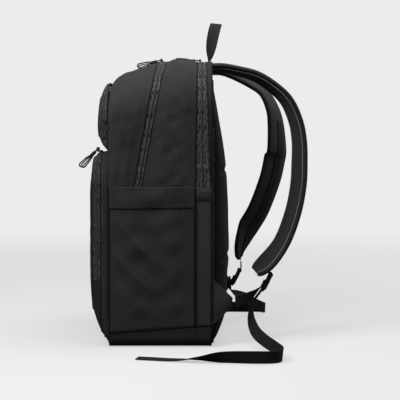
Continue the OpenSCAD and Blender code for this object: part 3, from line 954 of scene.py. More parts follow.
@dataclass
class BagBody:
    """Main and laptop compartments: the sewn shell, its zippers and its side pockets."""

    side: float
    front: float
    back: float
    height: float
    crease: float
    foot_r: float = 18 * MM
    top_r: float = 80 * MM
    front_top_r: float = 62 * MM
    zip_y: float = 2 * MM
    zip_lean: float = 0.19
    zip_half: float = 7 * MM
    laptop_seam: float = 61 * MM
    laptop_rear: float = 76 * MM
    garage_z: float = 252 * MM
    pocket_top: float = 264 * MM
    hem: float = 36 * MM
    middle: tuple[float, float, float] = (0, 0, 0.25)

    def __post_init__(self) -> None:
        """Works out the curve of the sloping front top and the arch's outline."""
        slope = [(2, 0), (-14, -4.5), (-36, -16), (-64, -26.5), (-76, -33), (-82.5, -42), (-85, -60)]
        rows = [(y * MM, self.height + z * MM) for y, z in slope]
        self.slope = spline(rows, 8)[::-1]
        self.path = arch_path([Part.SIDE, Part.TOP_CORNER, Part.TOP], [84, 24, 22])

    def top(self, y: np.ndarray) -> np.ndarray:
        """Height of the bag's top at a depth."""
        return np.interp(y, self.slope[:, 0], self.slope[:, 1])

    def corner(self, y: np.ndarray) -> np.ndarray:
        """Radius of the upper corners at a depth."""
        share = np.clip((y - self.front) / (self.zip_y - self.front), 0, 1)
        return self.front_top_r + (self.top_r - self.front_top_r) * share

    def seam(self, y: np.ndarray) -> np.ndarray:
        """Height of the bottom panel's slanting seam at a depth."""
        return 25 * MM + (y - self.front) * 0.075

    def at(self, y: np.ndarray, path: Optional[np.ndarray] = None) -> np.ndarray:
        """Points of the shell at a depth, or at one depth for each point of the outline.

        Args:
            y: depth, from front to back.
            path: the outline, or nothing for the shell's own.

        Returns:
            One point for each point of the outline.
        """
        path = self.path if path is None else path
        y = y + np.zeros(len(path))
        x, z = arch_at(path, self.side, 0, self.top(y), self.corner(y), self.foot_r)
        return np.stack([x, y, z], 1)

    def laptop_lines(self) -> tuple[np.ndarray, np.ndarray]:
        """Depths of the laptop band's two edges, which part towards the garages.

        Returns:
            Depths of the front and the rear edge.
        """
        height = self.at(np.full(len(self.path), self.laptop_seam))[:, 2]
        fall = 1 - np.clip((height - self.garage_z) / (self.height - self.garage_z), 0, 1)
        return self.laptop_seam - 3 * MM * fall, self.laptop_rear + 8 * MM * fall

    def zip_line(self) -> np.ndarray:
        """Depth of the main zipper's middle at each point of the outline."""
        nominal = self.at(np.full(len(self.path), self.zip_y))
        return self.zip_y - (self.height - nominal[:, 2]) * self.zip_lean

    def band(self, start: np.ndarray, end: np.ndarray, count: int, bias: float = 1.0) -> np.ndarray:
        """Grid between two lines round the shell."""
        shares = np.linspace(0, 1, count) ** bias
        return np.stack([self.at(start + (end - start) * share) for share in shares], 1)

    def face(self, y: float, low: float, columns: int = 36) -> np.ndarray:
        """Flat front or back face inside the shell's outline at one depth.

        Args:
            y: depth, from front to back.
            low: height of its lower edge.
            columns: how many points lie across.

        Returns:
            Points in rows and columns.
        """
        high, r = float(self.top(y)), float(self.corner(y))
        heights = low + (high - low) * np.sin(np.linspace(0, math.pi / 2, 64))
        over = np.clip(heights - (high - r), 0, r)
        under = np.clip(self.foot_r - heights, 0, self.foot_r)
        half = (self.side - r + np.sqrt(r * r - over * over)
                - self.foot_r + np.sqrt(self.foot_r ** 2 - under * under))
        across = np.linspace(-1, 1, columns)
        return np.stack([half[:, None] * across, np.full((64, columns), y),
                         np.repeat(heights[:, None], columns, 1)], -1)

    def build(self) -> None:
        """Builds and dresses every piece."""
        line = self.zip_line()
        self.front_shell(line)
        self.rear_shell(line)
        self.bottom()
        self.main_zipper(line)
        self.laptop_zipper()
        for hand in (RIGHT, LEFT):
            self.side_pocket(hand)
            self.garage(hand)

    def rumpled(self, grid: np.ndarray, crown: float, waves: float, size: float, seed: int) -> np.ndarray:
        """Gusset cloth that puffs out above the side pockets and lies flat behind them.

        Args:
            grid: points in rows and columns.
            crown: how far the middle stands out.
            waves: height of the rumples.
            size: about how long they are.
            seed: which set of waves.

        Returns:
            The moved grid.
        """
        puffed = crumpled(grid, self.middle, crown, waves, size, seed, (0.02, 0.35))
        rise = np.clip((grid[..., 2] - self.pocket_top + 30 * MM) / (50 * MM), 0, 1)
        return grid + (puffed - grid) * smooth(rise)[..., None]

    def front_shell(self, line: np.ndarray) -> None:
        """Front wall, lid and the gusset in front of the main zipper, in one cloth.

        Args:
            line: depth of the zipper's middle at each point of the outline.
        """
        grid = self.band(np.full(len(line), self.front), line - self.zip_half, 30, 1.25)
        grid = self.rumpled(grid, 2.5 * MM, 2.4 * MM, 85 * MM, 3)
        sides = cloth_grid("front_gusset", grid, self.middle)
        wall = cloth_grid("front_face", self.face(self.front, 1 * MM), self.middle)
        shell = joined("front_shell", [sides, wall])
        bent(shell, BODY_CLOTH, "body_fabric", "front_lid", self.crease - LID_BEND, self.crease + LID_BEND,
             "main_gusset", "front_wall", "front_lid")

    def rear_shell(self, line: np.ndarray) -> None:
        """Gusset between the two zippers, the laptop gusset and the back face.

        Args:
            line: depth of the zipper's middle at each point of the outline.
        """
        seam, rear = self.laptop_lines()
        grid = self.band(line + self.zip_half, seam, 30)
        grid = self.rumpled(grid, 3.5 * MM, 3.0 * MM, 95 * MM, 5)
        dressed(cloth_grid("rear_gusset", grid, self.middle), "bag", BODY_CLOTH, "body_fabric")
        narrow = self.band(rear, np.full(len(line), self.back), 8)
        strip = cloth_grid("laptop_side", self.band(seam, rear, 10), self.middle)
        low = cut(strip, "laptop_side_low", self.garage_z, False)
        remove(strip)
        # This narrow strip beside the back pad takes the darker base cloth as painted shade.
        edge = cloth_grid("laptop_edge", narrow, self.middle)
        dressed(edge, "bag", BASE_CLOTH, "body_fabric", "laptop_gusset")
        dressed(low, "bag", SMOOTH_CLOTH, "body_fabric")
        back = cloth_grid("back_face", self.face(self.back, 1 * MM), self.middle)
        dressed(back, "bag", SMOOTH_CLOTH, "body_fabric", "back_panel")
        for name, depth in (("laptop_seam", seam), ("back_seam", np.full(len(line), self.back))):
            self.piping(name, self.at(depth), 1.3 * MM)

    def piping(self, name: str, path: np.ndarray, radius: float, body: str = "bag") -> None:
        """Thin welt in a seam, half sunk into the cloth; its near-black tone is painted shade along the seam.

        Args:
            name: the piece's name.
            path: the seam's line.
            radius: its radius.
            body: the body that it rides on.
        """
        out = unit(path - np.stack([path[:, 0] * 0.4, path[:, 1], path[:, 2] * 0.4 + 0.12], 1))
        piece = tube(name, path - out * radius * 0.4, out, radius, 6)
        dressed(piece, body, SEAM_SHADE, "body_fabric")

    def bottom(self) -> None:
        """Hard-wearing bottom panel, which wraps up the sides to its slanting seam."""
        path = arch_path([Part.FOOT, Part.FOOT_CORNER, Part.SIDE], [24, 12, 6])
        half = len(path) // 2
        path = np.roll(path[:-1], -half, 0)[::-1]
        rows = []
        for y in np.linspace(self.front, self.back, 30):
            high = float(self.seam(np.array(y))) + self.top_r
            x, z = arch_at(path, self.side + 0.7 * MM, 0, high, self.top_r, self.foot_r)
            rows.append(np.stack([x, np.full(len(path), y), z], 1))
        grid = np.stack(rows, 1)
        piece = cloth_grid("bottom_cloth", grid, self.middle, 1.8 * MM)
        dressed(piece, "bag", BASE_CLOTH, "base_fabric", "bottom_panel")
        for hand in (RIGHT, LEFT):
            y = np.linspace(self.front, self.back, 40)
            line = np.stack([np.full(40, hand * (self.side + 1.6 * MM)), y, self.seam(y)], 1)
            self.piping(f"bottom_seam_{SIDE_NAMES[hand]}", line, 1.0 * MM)

    def sunk_tape(self, name: str, start: np.ndarray, end: np.ndarray) -> Object:
        """Half of a zipper's tape between two lines, a little below the cloth beside it.

        Args:
            name: the piece's name.
            start: depth of the first edge at each point of the outline.
            end: depth of the second edge.

        Returns:
            The new object.
        """
        grid = self.band(start, end, 6)
        sunk = grid - normals(grid, self.middle) * TAPE_SINK
        return cloth_grid(name, sunk, self.middle, TAPE_THICKNESS)

    def coil_line(self, line: np.ndarray) -> tuple[np.ndarray, np.ndarray]:
        """Points along a coil, a little below the cloth, and the outward direction at each."""
        out = normals(self.band(line - COIL_HALF, line + COIL_HALF, 3), self.middle)[:, 1]
        return self.at(line) - out * 0.6 * MM, out

    def main_zipper(self, line: np.ndarray) -> None:
        """Both halves of the main zipper's tape, its coil and its near-black seam tubes, which are painted
        shade along the band's edges.

        Args:
            line: depth of the zipper's middle at each point of the outline.
        """
        slit = 0.15 * MM
        for name, start, end in (("lid_tape", -self.zip_half, -slit), ("bag_tape", slit, self.zip_half)):
            piece = self.sunk_tape("main_" + name, line + start, line + end)
            if start < 0:
                bent(piece, TAPE_CLOTH, "zipper_tape", "front_lid", self.crease - LID_BEND,
                     self.crease + LID_BEND, "lid_zipper_tape")
            else:
                dressed(piece, "bag", TAPE_CLOTH, "zipper_tape", "main_zipper_tape")
        self.coil("main_coil", line, "main_zipper_coil")
        rear = self.at(line + self.zip_half)
        self.piping("main_seam_rear", rear, 1.1 * MM)
        front = self.at(line - self.zip_half)
        out = unit(front - np.array(self.middle))
        seam = tube("main_seam_front", front - out * 0.4 * MM, out, 1.1 * MM, 6)
        bent(seam, SEAM_SHADE, "body_fabric", "front_lid", self.crease - LID_BEND, self.crease + LID_BEND)

    def coil(self, name: str, line: np.ndarray, *nodes: str) -> None:
        """Row of coil teeth along a line round the shell.

        Args:
            name: the piece's name.
            line: depth of the zipper's middle at each point of the outline.
            nodes: construction nodes that it replaces.
        """
        path, out = self.coil_line(line)
        teeth = repeated(name, path, out, TOOTH_PITCH, TOOTH_SIZE, False)
        dressed(teeth, "bag", COIL_NYLON, "zipper_coil", *nodes)

    def laptop_zipper(self) -> None:
        """The laptop compartment's tape and coil, down to the garages."""
        seam, rear = self.laptop_lines()
        line = np.full(len(self.path), (self.laptop_seam + self.laptop_rear) / 2)
        halves = []
        for start, end in ((seam, line), (line, rear)):
            whole = self.sunk_tape("laptop_band", start, end)
            halves.append(cut(whole, "laptop_half", self.garage_z, True))
            remove(whole)
        dressed(joined("laptop_tape", halves), "bag", TAPE_CLOTH, "zipper_tape", "laptop_zipper_tape")
        path, out = self.coil_line(line)
        keep = self.at(line)[:, 2] > self.garage_z + 4 * MM
        teeth = repeated("laptop_coil", path[keep], out[keep], TOOTH_PITCH, TOOTH_SIZE, False)
        dressed(teeth, "bag", COIL_NYLON, "zipper_coil", "laptop_zipper_coil")
        self.piping("laptop_rear_seam", self.at(rear), 0.9 * MM)

    def garage(self, hand: int) -> None:
        """Small folded cloth cap over the laptop zipper's end.

        Args:
            hand: which side of the bag, 1 for right and -1 for left.
        """
        low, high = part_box("zipper_garages")
        count = 14
        y = np.linspace(low.y - 3.5 * MM, high.y + 8.5 * MM, count)
        z = np.linspace(low.z, high.z + 2 * MM, count)
        lift = fade(count, 0.35)[:, None] * (0.4 + 0.6 * fade(count, 0.3)[None])
        grid = np.stack([hand * (self.side + 0.5 * MM + 2.2 * MM * lift),
                         np.repeat(y[None], count, 0), np.repeat(z[:, None], count, 1)], -1)
        piece = cloth_grid(f"zipper_garage_{SIDE_NAMES[hand]}", grid, self.middle, 0.9 * MM)
        nodes = ["zipper_garages"] if hand == RIGHT else []
        dressed(piece, "bag", BODY_CLOTH, "body_fabric", *nodes)

    def side_pocket(self, hand: int) -> None:
        """Slack pocket with a folded hem and diagonal creases; a wide near-black tube at its rear seam is
        painted shade of the pleat there.

        Args:
            hand: which side of the bag, 1 for right and -1 for left.
        """
        side = SIDE_NAMES[hand]
        rows, columns = 96, 70
        y_low, y_high = self.front + 1 * MM, self.front + 142 * MM
        across = np.linspace(0, 1, columns)
        rise = np.linspace(0, 1, rows)
        y = y_low + (y_high - y_low) * across
        low = self.seam(y) + 0.5 * MM
        z = low[None] + (self.pocket_top - low)[None] * rise[:, None]
        yy = np.repeat(y[None], rows, 0)
        slack = fade(columns, 0.3)[None] * np.clip(rise[:, None] / 0.18, 0, 1) ** 0.7
        belly = 3.0 * MM + 3.2 * MM * rise[:, None] ** 2
        slant = (yy - y_low + z) * 0.71
        fold = slant / (6.4 * MM) + 1.4 * ripple(np.stack([yy * 0, yy, z], -1), 0.16, 8)
        crease = 1 - 2 * np.abs(np.sin(fold / 2)) ** 0.8
        fall = np.exp(-(((rise[:, None] - 0.56) / 0.3) ** 2)) * np.exp(-(((across[None] - 0.18) / 0.3) ** 2))
        fall = fall * fade(columns, 0.12)[None] * fade(rows, 0.2)[:, None]
        rumple = ripple(np.stack([yy * 0, yy, z], -1), 60 * MM, 9)
        x = self.side + 1.2 * MM + slack * (belly + 1.5 * MM * rumple) + 2.4 * MM * (crease + 0.7) * fall
        grid = np.stack([hand * x, yy, z], -1)
        cloth = cloth_grid(f"side_pocket_cloth_{side}", grid, self.middle, 1.1 * MM)
        dressed(cloth, "bag", BODY_CLOTH, "body_fabric", "side_pocket_" + side)
        share = 1 - self.hem / (self.pocket_top - 0.03)
        hem = grid[int(share * rows):] + np.array([hand * 0.9 * MM, 0, 0])
        piece = cloth_grid(f"side_hem_cloth_{side}", hem, self.middle, 2.2 * MM)
        dressed(piece, "bag", BODY_CLOTH, "body_fabric", "side_hem_" + side)
        out = facing((hand, 0, 0), columns)
        lip = tube(f"side_lip_{side}", hem[-1] - out * 1.1 * MM, out, 1.4 * MM, 8)
        dressed(lip, "bag", BODY_CLOTH, "body_fabric")
        stitches = [repeated("row", hem[k] + out * 0.15 * MM, out, 3.4 * MM, (2.5 * MM, 0.7 * MM, 0.6 * MM))
                    for k in (2, 5)]
        dressed(joined(f"hem_stitches_{side}", stitches), "bag", THREAD, "body_fabric")
        # Seam tubes at the front and rear edges in the near-black seam material; the wide rear one is painted
        # shade of the pocket's pleat.
        for name, column, radius in (("front", 0, 1.1 * MM), ("rear", -1, 2.1 * MM)):
            edge = grid[:, column] + np.array([hand * 0.3 * MM, 0, 0])
            seam = tube(f"side_pocket_{name}_seam_{side}", edge, facing((hand, 0, 0), rows), radius, 8)
            dressed(seam, "bag", SEAM_SHADE, "body_fabric")


@dataclass
class ZippedPocket:
    """Pocket that stands out from a flat face: gusset, zipper band and a crowned front."""

    body: str
    half: float
    top_r: float
    foot_r: float
    depths: tuple[float, ...]
    lows: tuple[float, ...]
    highs: tuple[float, ...]
    band_start: float
    band_end: float
    crown: float
    centre: float
    seed: int
    taper: float = 3 * MM
    slit: float = 1.2 * MM

    def __post_init__(self) -> None:
        """Works out the outline that every ring shares."""
        self.path = arch_path(range(5), [26, 10, 60, 26, 26])
        self.inside = (0, self.depths[0] + 0.02, self.centre)

    def ring(self, y: float) -> np.ndarray:
        """Outline of the pocket at one depth.

        Args:
            y: depth of the ring.

        Returns:
            The ring's points.
        """
        order = np.argsort(self.depths)
        depths = np.array(self.depths)[order]
        low = np.interp(y, depths, np.array(self.lows)[order])
        high = np.interp(y, depths, np.array(self.highs)[order])
        share = (self.depths[0] - y) / (self.depths[0] - self.band_end)
        x, z = arch_at(self.path, self.half - self.taper * share ** 2, low, high,
                       self.top_r - 6 * MM * share, self.foot_r)
        return np.stack([x, np.full(len(x), y), z], 1)

    def sleeve(self, start: float, end: float, count: int) -> np.ndarray:
        """Grid round the pocket between two depths."""
        return np.stack([self.ring(y) for y in np.linspace(start, end, count)], 1)

    def panel(self) -> np.ndarray:
        """Crowned front, as rings that close on its middle.

        Returns:
            Points in rows and columns.
        """
        edge = self.ring(self.band_end)
        middle = np.array([0, self.band_end, self.centre])
        shares = np.linspace(1, 0, 34) ** 0.9
        rings = [middle + (edge - middle) * share - np.array([0, self.crown * (1 - share ** 3.2), 0])
                 for share in shares]
        grid = np.stack(rings, 1)
        weight = 1 - shares ** 6
        rumple = ripple(grid, 95 * MM, self.seed) + 0.35 * ripple(grid, 30 * MM, self.seed + 1)
        grid[..., 1] += 0.9 * MM * rumple * weight[None]
        return grid

    def welt(self, name: str, y: float, radius: float) -> Object:
        """Welt round the pocket at one depth, near black as painted seam shade.

        Args:
            name: the piece's name.
            y: depth, from front to back.
            radius: its radius.

        Returns:
            The new object.
        """
        ring = self.ring(y)[:-1]
        ring = np.concatenate([ring, ring[:1]])
        out = unit(ring - np.array([0, y, self.centre]))
        return tube(name, ring - out * radius * 0.3, out, radius, 6)

    def coil(self, name: str, y: float, low: float) -> Object:
        """Coil teeth round the pocket above a height.

        Args:
            name: the piece's name.
            y: depth of the coil's middle.
            low: height that it ends at.

        Returns:
            The new object.
        """
        ring = self.ring(y)
        keep = ring[:, 2] > low
        out = normals(self.sleeve(y + COIL_HALF, y - COIL_HALF, 3), self.inside)[:, 1][keep]
        return repeated(name, ring[keep] - out * 0.5 * MM, out, TOOTH_PITCH, TOOTH_SIZE, False)


@dataclass
class FrontPocket(ZippedPocket):
    """Large pocket whose front flap folds down where its zipper ends."""

    fold: float = 111 * MM

    def build(self) -> None:
        """Builds and dresses every piece."""
        middle = (self.band_start + self.band_end) / 2
        grid = crumpled(self.sleeve(self.depths[0], self.band_start, 8), self.inside, 0.4 * MM,
                        0.9 * MM, 60 * MM, 21, (0.01, 0.5))
        gusset = cloth_grid("pocket_gusset_cloth", grid, self.inside)
        merge(gusset)
        dressed(gusset, "bag", BODY_CLOTH, "body_fabric", "front_pocket_gusset")
        rear = cloth_grid("band_rear", self.sleeve(self.band_start, middle + self.slit, 5), self.inside,
                          TAPE_THICKNESS)
        front = cloth_grid("band_front", self.sleeve(middle - self.slit, self.band_end, 5), self.inside,
                           TAPE_THICKNESS)
        dressed(cut(rear, "pocket_tape_rear", self.fold, True), "bag", POCKET_TAPE, "zipper_tape",
                "front_pocket_tape")
        dressed(cut(front, "pocket_tape_front", self.fold, True), "front_flap", POCKET_TAPE, "zipper_tape",
                "flap_zipper_tape")
        whole = cloth_grid("band_low", self.sleeve(self.band_start, self.band_end, 8), self.inside)
        base = cut(whole, "pocket_base_cloth", self.fold, False)
        dressed(base, "bag", BASE_CLOTH, "base_fabric", "front_pocket_base")
        for step in (rear, front, whole):
            remove(step)
        dressed(self.coil("pocket_coil", middle, self.fold), "bag", COIL_NYLON, "zipper_coil",
                "front_pocket_coil")
        panel = cloth_grid("pocket_front_cloth", self.panel(), self.inside)
        merge(panel)
        bent(panel, BASE_CLOTH, "body_fabric", "front_flap", self.fold - FLAP_BEND, self.fold + FLAP_BEND,
             "front_flap")
        dressed(self.welt("pocket_rear_welt", self.band_start, 1.0 * MM), "bag", SEAM_SHADE, "body_fabric")
        dressed(self.welt("pocket_wall_welt", self.depths[0] - 1 * MM, 1.3 * MM), "bag", SEAM_SHADE,
                "body_fabric")
        bent(self.welt("pocket_front_welt", self.band_end, 1.1 * MM), SEAM_SHADE, "body_fabric",
             "front_flap", self.fold - FLAP_BEND, self.fold + FLAP_BEND)
        edge = self.panel()[:, 3]
        out = facing((0, -1, 0), len(edge))
        stitches = repeated("pocket_front_stitches", edge + out * 0.3 * MM, out, 3.6 * MM,
                            (2.6 * MM, 0.7 * MM, 0.6 * MM))
        bent(stitches, THREAD, "body_fabric", "front_flap", self.fold - FLAP_BEND, self.fold + FLAP_BEND)


@dataclass
class LidPocket(ZippedPocket):
    """Small zipped pocket on the lid, which moves with the lid."""

    def build(self) -> None:
        """Builds and dresses every piece."""
        middle = (self.band_start + self.band_end) / 2
        gusset = cloth_grid("lid_pocket_gusset", self.sleeve(self.depths[0], self.band_start, 4), self.inside)
        merge(gusset)
        dressed(gusset, self.body, BASE_CLOTH, "body_fabric", "upper_pocket_gusset")
        halves = [cloth_grid("half", self.sleeve(start, end, 6), self.inside, TAPE_THICKNESS)
                  for start, end in ((self.band_start, middle + self.slit),
                                     (middle - self.slit, self.band_end))]
        for half in halves:
            merge(half)
        dressed(joined("lid_pocket_tape", halves), self.body, POCKET_TAPE, "zipper_tape", "upper_pocket_tape")
        dressed(self.coil("lid_pocket_coil", middle, 0), self.body, COIL_NYLON, "zipper_coil",
                "upper_pocket_coil")
        panel = cloth_grid("lid_pocket_panel", self.panel(), self.inside)
        merge(panel)
        dressed(panel, self.body, BASE_CLOTH, "body_fabric", "upper_pocket_panel")
        for name, y in (("lid_pocket_rear_welt", self.band_start), ("lid_pocket_front_welt", self.band_end)):
            dressed(self.welt(name, y, 1.0 * MM), self.body, SEAM_SHADE, "body_fabric")


# ---------- back, straps and webbing ----------


@dataclass
class PaddedBack:
    """Foam back pad under spacer mesh, with a breathing channel and a bound edge."""

    half: float
    root: float
    low: float
    high: float
    top_r: float = 70 * MM
    foot_r: float = 16 * MM
    channel: float = 7 * MM
    fold_heights: tuple[float, float] = (0.145, 0.29)
    binding_rise: float = 1.2 * MM

    def depth(self, z: np.ndarray) -> np.ndarray:
        """Thickness of the pad at a height.

        Args:
            z: height above the floor.

        Returns:
            The thickness at each height.
        """
        profile = [(4, 0), (9, 7), (16, 12), (41, 23), (58, 27), (109, 28.5), (142, 31), (210, 30),
                   (275, 28), (306, 25), (343, 19.8), (370, 15), (397, 10), (426, 4), (438, 1), (442, 0)]
        rows = spline(profile, 6) * MM
        return np.interp(z, rows[:, 0], rows[:, 1])

    def width(self, z: np.ndarray) -> np.ndarray:
        """Half of the pad's width at a height.

        Args:
            z: height above the floor.

        Returns:
            Half of the width at each height.
        """
        over = np.clip(z - (self.high - self.top_r), 0, self.top_r)
        under = np.clip(self.low + self.foot_r - z, 0, self.foot_r)
        return (self.half - self.top_r + np.sqrt(self.top_r ** 2 - over ** 2)
                - self.foot_r + np.sqrt(self.foot_r ** 2 - under ** 2))

    def build(self) -> None:
        """Builds and dresses the pad, its binding and its stitches."""
        rows, columns = 150, 96
        middle = (self.low + self.high) / 2
        z = middle - (self.high - self.low) / 2 * np.cos(np.linspace(0.02, math.pi - 0.02, rows))
        turn = np.linspace(-math.pi / 2, math.pi / 2, columns)
        half = self.width(z)
        x = half[:, None] * np.sin(turn)[None]
        swell = np.cos(turn)[None] ** 0.42
        inner = np.exp(-(x / (15 * MM)) ** 2) * fade(rows, 0.22)[:, None]
        folds = sum(np.exp(-((z - height) / (5 * MM)) ** 2) for height in self.fold_heights)[:, None]
        hollow = self.channel * inner + 3.2 * MM * folds * fade(columns, 0.12)[None] * (1 - inner)
        zz = np.repeat(z[:, None], columns, 1)
        puff = 0.8 * MM * ripple(np.stack([x, zz * 0, zz], -1), 70 * MM, 31) * fade(columns, 0.2)[None]
        y = self.root + np.maximum(self.depth(z)[:, None] * swell - hollow + puff, 0)
        pad = cloth_grid("back_pad", np.stack([x, y, zz], -1), (0, self.root - 0.05, middle), 0)
        close = cloth_grid("back_pad_rear", np.stack([x, np.full_like(x, self.root - 0.4 * MM), zz], -1),
                           (0, self.root + 0.05, middle), 0)
        pad = joined("back_pad", [pad, close])
        dressed(pad, "bag", MESH_CLOTH, "spacer_mesh", "back_mesh", "back_foam")
        level = np.full(rows, self.root + self.binding_rise)
        rim = np.concatenate([np.stack([half, level, z], 1), np.stack([-half[::-1], level, z[::-1]], 1)])
        rim = np.concatenate([rim, rim[:1]])
        dressed(tube("back_binding", rim, facing((0, 1, 0), len(rim)), 2.3 * MM, 10), "bag",
                WEBBING_CLOTH, "webbing")
        dressed(joined("back_chain_stitch", [self.chain(RIGHT), self.chain(LEFT)]), "bag",
                THREAD_AND_STRAP_HIGHLIGHT, "webbing")

    def chain(self, hand: int) -> Object:
        """Zigzag of bright thread that lies on the binding along one edge.

        Args:
            hand: which side of the bag, 1 for right and -1 for left.

        Returns:
            The new object.
        """
        count, radius = 150, 2.5 * MM
        heights = np.linspace(0.09, 0.36, count)
        turn = np.radians(35 + np.where(np.arange(count) % 2, 30, -30))
        path = np.stack([hand * (self.width(heights) + radius * np.cos(turn)),
                         self.root + self.binding_rise + radius * np.sin(turn), heights], 1)
        return tube("chain", path, facing((hand, 0.6, 0), count), 0.6 * MM, 5)


@dataclass
class ShoulderStrap:
    """Padded strap that arches behind the bag, with webbing down its outer face."""

    hand: int
    edge: tuple[tuple[float, float], ...]
    leans: tuple[float, float, float]
    splay: float
    width: float = 65 * MM
    thickness: float = 12 * MM
    root: tuple[float, float, float] = (60 * MM, 85.4 * MM, 471 * MM)
    webbing_from: float = 0.4

    def lean(self, s: float) -> float:
        """Angle of the strap's face at a share of its length, in radians.

        Args:
            s: share of the strap's length.

        Returns:
            The angle.
        """
        a, b, c = self.leans
        stops, angles = (0, 0.25, 0.55, 0.84, 1), (0, a, b, b, c)
        return math.radians(float(np.interp(s, stops, angles)))

    def lay_out(self) -> None:
        """Works out the strap's middle line and its directions."""
        path = spline([(0, y * MM, z * MM) for y, z in self.edge], 7)
        along = tangents(path)
        count = len(path)
        share = np.arange(count) / (count - 1)
        lean = np.array([self.lean(s) for s in share])[:, None]
        sideways = np.array([1.0, 0, 0])
        out = np.cross(sideways, along)
        drop = self.thickness / 2 * np.cos(lean) + self.width / 2 * np.sin(lean)
        centre = path - out * drop + np.array(self.root)
        centre[:, 0] += self.splay * MM * share
        self.up = out * np.cos(lean) - sideways * np.sin(lean)
        self.across = sideways * np.cos(lean) + out * np.sin(lean)
        self.centre, self.share = centre, share
        for rows in (self.centre, self.up, self.across):
            rows[:, 0] *= self.hand
        narrow = np.sqrt(1 - np.clip((share - 0.9) / 0.105, 0, 1) ** 2 * 0.85)
        self.narrow = np.where(share < 0.9, 1, np.maximum(0.3, narrow))

    def section(self, half: float, swell: float, edge: float) -> np.ndarray:
        """Section of the padding: full in the middle, thin at its bound edges.

        Args:
            half: half of the section's width.
            swell: half of its thickness in the middle.
            edge: half of its thickness at the edges.

        Returns:
            The section's points.
        """
        x = np.sin(np.linspace(-math.pi / 2, math.pi / 2, 17))
        top = edge + (swell - edge) * (1 - np.abs(x) ** 3.2) ** 0.55
        upper = np.stack([x * half, top], 1)
        lower = np.stack([x[::-1] * half, -top[::-1]], 1)
        return np.concatenate([upper, lower])

    def build(self) -> None:
        """Builds and dresses the pad, its cover, bindings and webbing."""
        self.lay_out()
        side = SIDE_NAMES[self.hand]
        puff = 1 + 0.05 * ripple(self.centre, 60 * MM, 41)
        pad = np.stack([self.section(self.width / 2 * n, self.thickness / 2 * p, 1.6 * MM)
                        for n, p in zip(self.narrow, puff)])
        piece = sweep(f"strap_pad_{side}", self.centre, self.across, self.up, pad)
        dressed(piece, "bag", MESH_CLOTH, "spacer_mesh", "shoulder_strap_" + side)
        cover = np.stack([self.cover_section(self.width / 2 * n, self.thickness / 2 * p)
                          for n, p in zip(self.narrow, puff)])
        piece = sweep(f"strap_cover_{side}", self.centre, self.across, self.up, cover)
        dressed(piece, "bag", SMOOTH_CLOTH, "body_fabric")
        edges = []
        for end in (-1, 1):
            rim = self.centre + self.across * (end * (self.width / 2 * self.narrow - 0.3 * MM))[:, None]
            edges.append(tube("edge", rim, self.up, 2.1 * MM, 10))
        dressed(joined(f"strap_binding_{side}", edges), "bag", WEBBING_CLOTH, "webbing")
        # Seam tubes near both edges of the strap: their bright tone is a painted highlight along its rounded
        # edge.
        rows = []
        for end in (-1, 1):
            inset = self.centre + self.across * (end * (self.width / 2 * self.narrow - 4 * MM))[:, None]
            rows.append(tube("seam", inset - self.up * 4.4 * MM, self.up, 0.8 * MM, 6))
        dressed(joined(f"strap_highlight_seam_{side}", rows), "bag", THREAD_AND_STRAP_HIGHLIGHT, "webbing")
        self.webbing(side)

    def cover_section(self, half: float, swell: float) -> np.ndarray:
        """Section of the smooth cover over the strap's outer face.

        Args:
            half: half of the section's width.
            swell: half of its thickness in the middle.

        Returns:
            The section's points.
        """
        x = np.sin(np.linspace(-math.pi / 2, math.pi / 2, 17)) * 0.995
        top = 1.6 * MM + (swell - 1.6 * MM) * (1 - np.abs(x) ** 3.2) ** 0.55
        upper = np.stack([x * half, top + 0.5 * MM], 1)
        lower = np.stack([x[::-1] * half, top[::-1] - 0.8 * MM], 1)
        return np.concatenate([upper, lower])

    def webbing(self, side: str) -> None:
        """Webbing sewn down the strap's middle, with stitches along both edges.

        Args:
            side: right or left.
        """
        keep = (self.share > self.webbing_from) & (self.share < 0.975)
        path = (self.centre + self.up * (self.thickness / 2 + 1.2 * MM))[keep]
        across, up = self.across[keep], self.up[keep]
        section = flat_section(WEBBING_WIDTH, WEBBING_THICKNESS)
        strip = sweep(f"strap_webbing_strip_{side}", path, across, up, section)
        dressed(strip, "bag", WEBBING_CLOTH, "webbing", "strap_webbing_" + side)
        rows = [repeated("row", path + across * end * 8 * MM + up * 0.9 * MM, up, 3.2 * MM,
                         (2.4 * MM, 0.7 * MM, 0.5 * MM)) for end in (-1, 1)]
        dressed(joined(f"strap_stitches_{side}", rows), "bag", THREAD, "webbing")


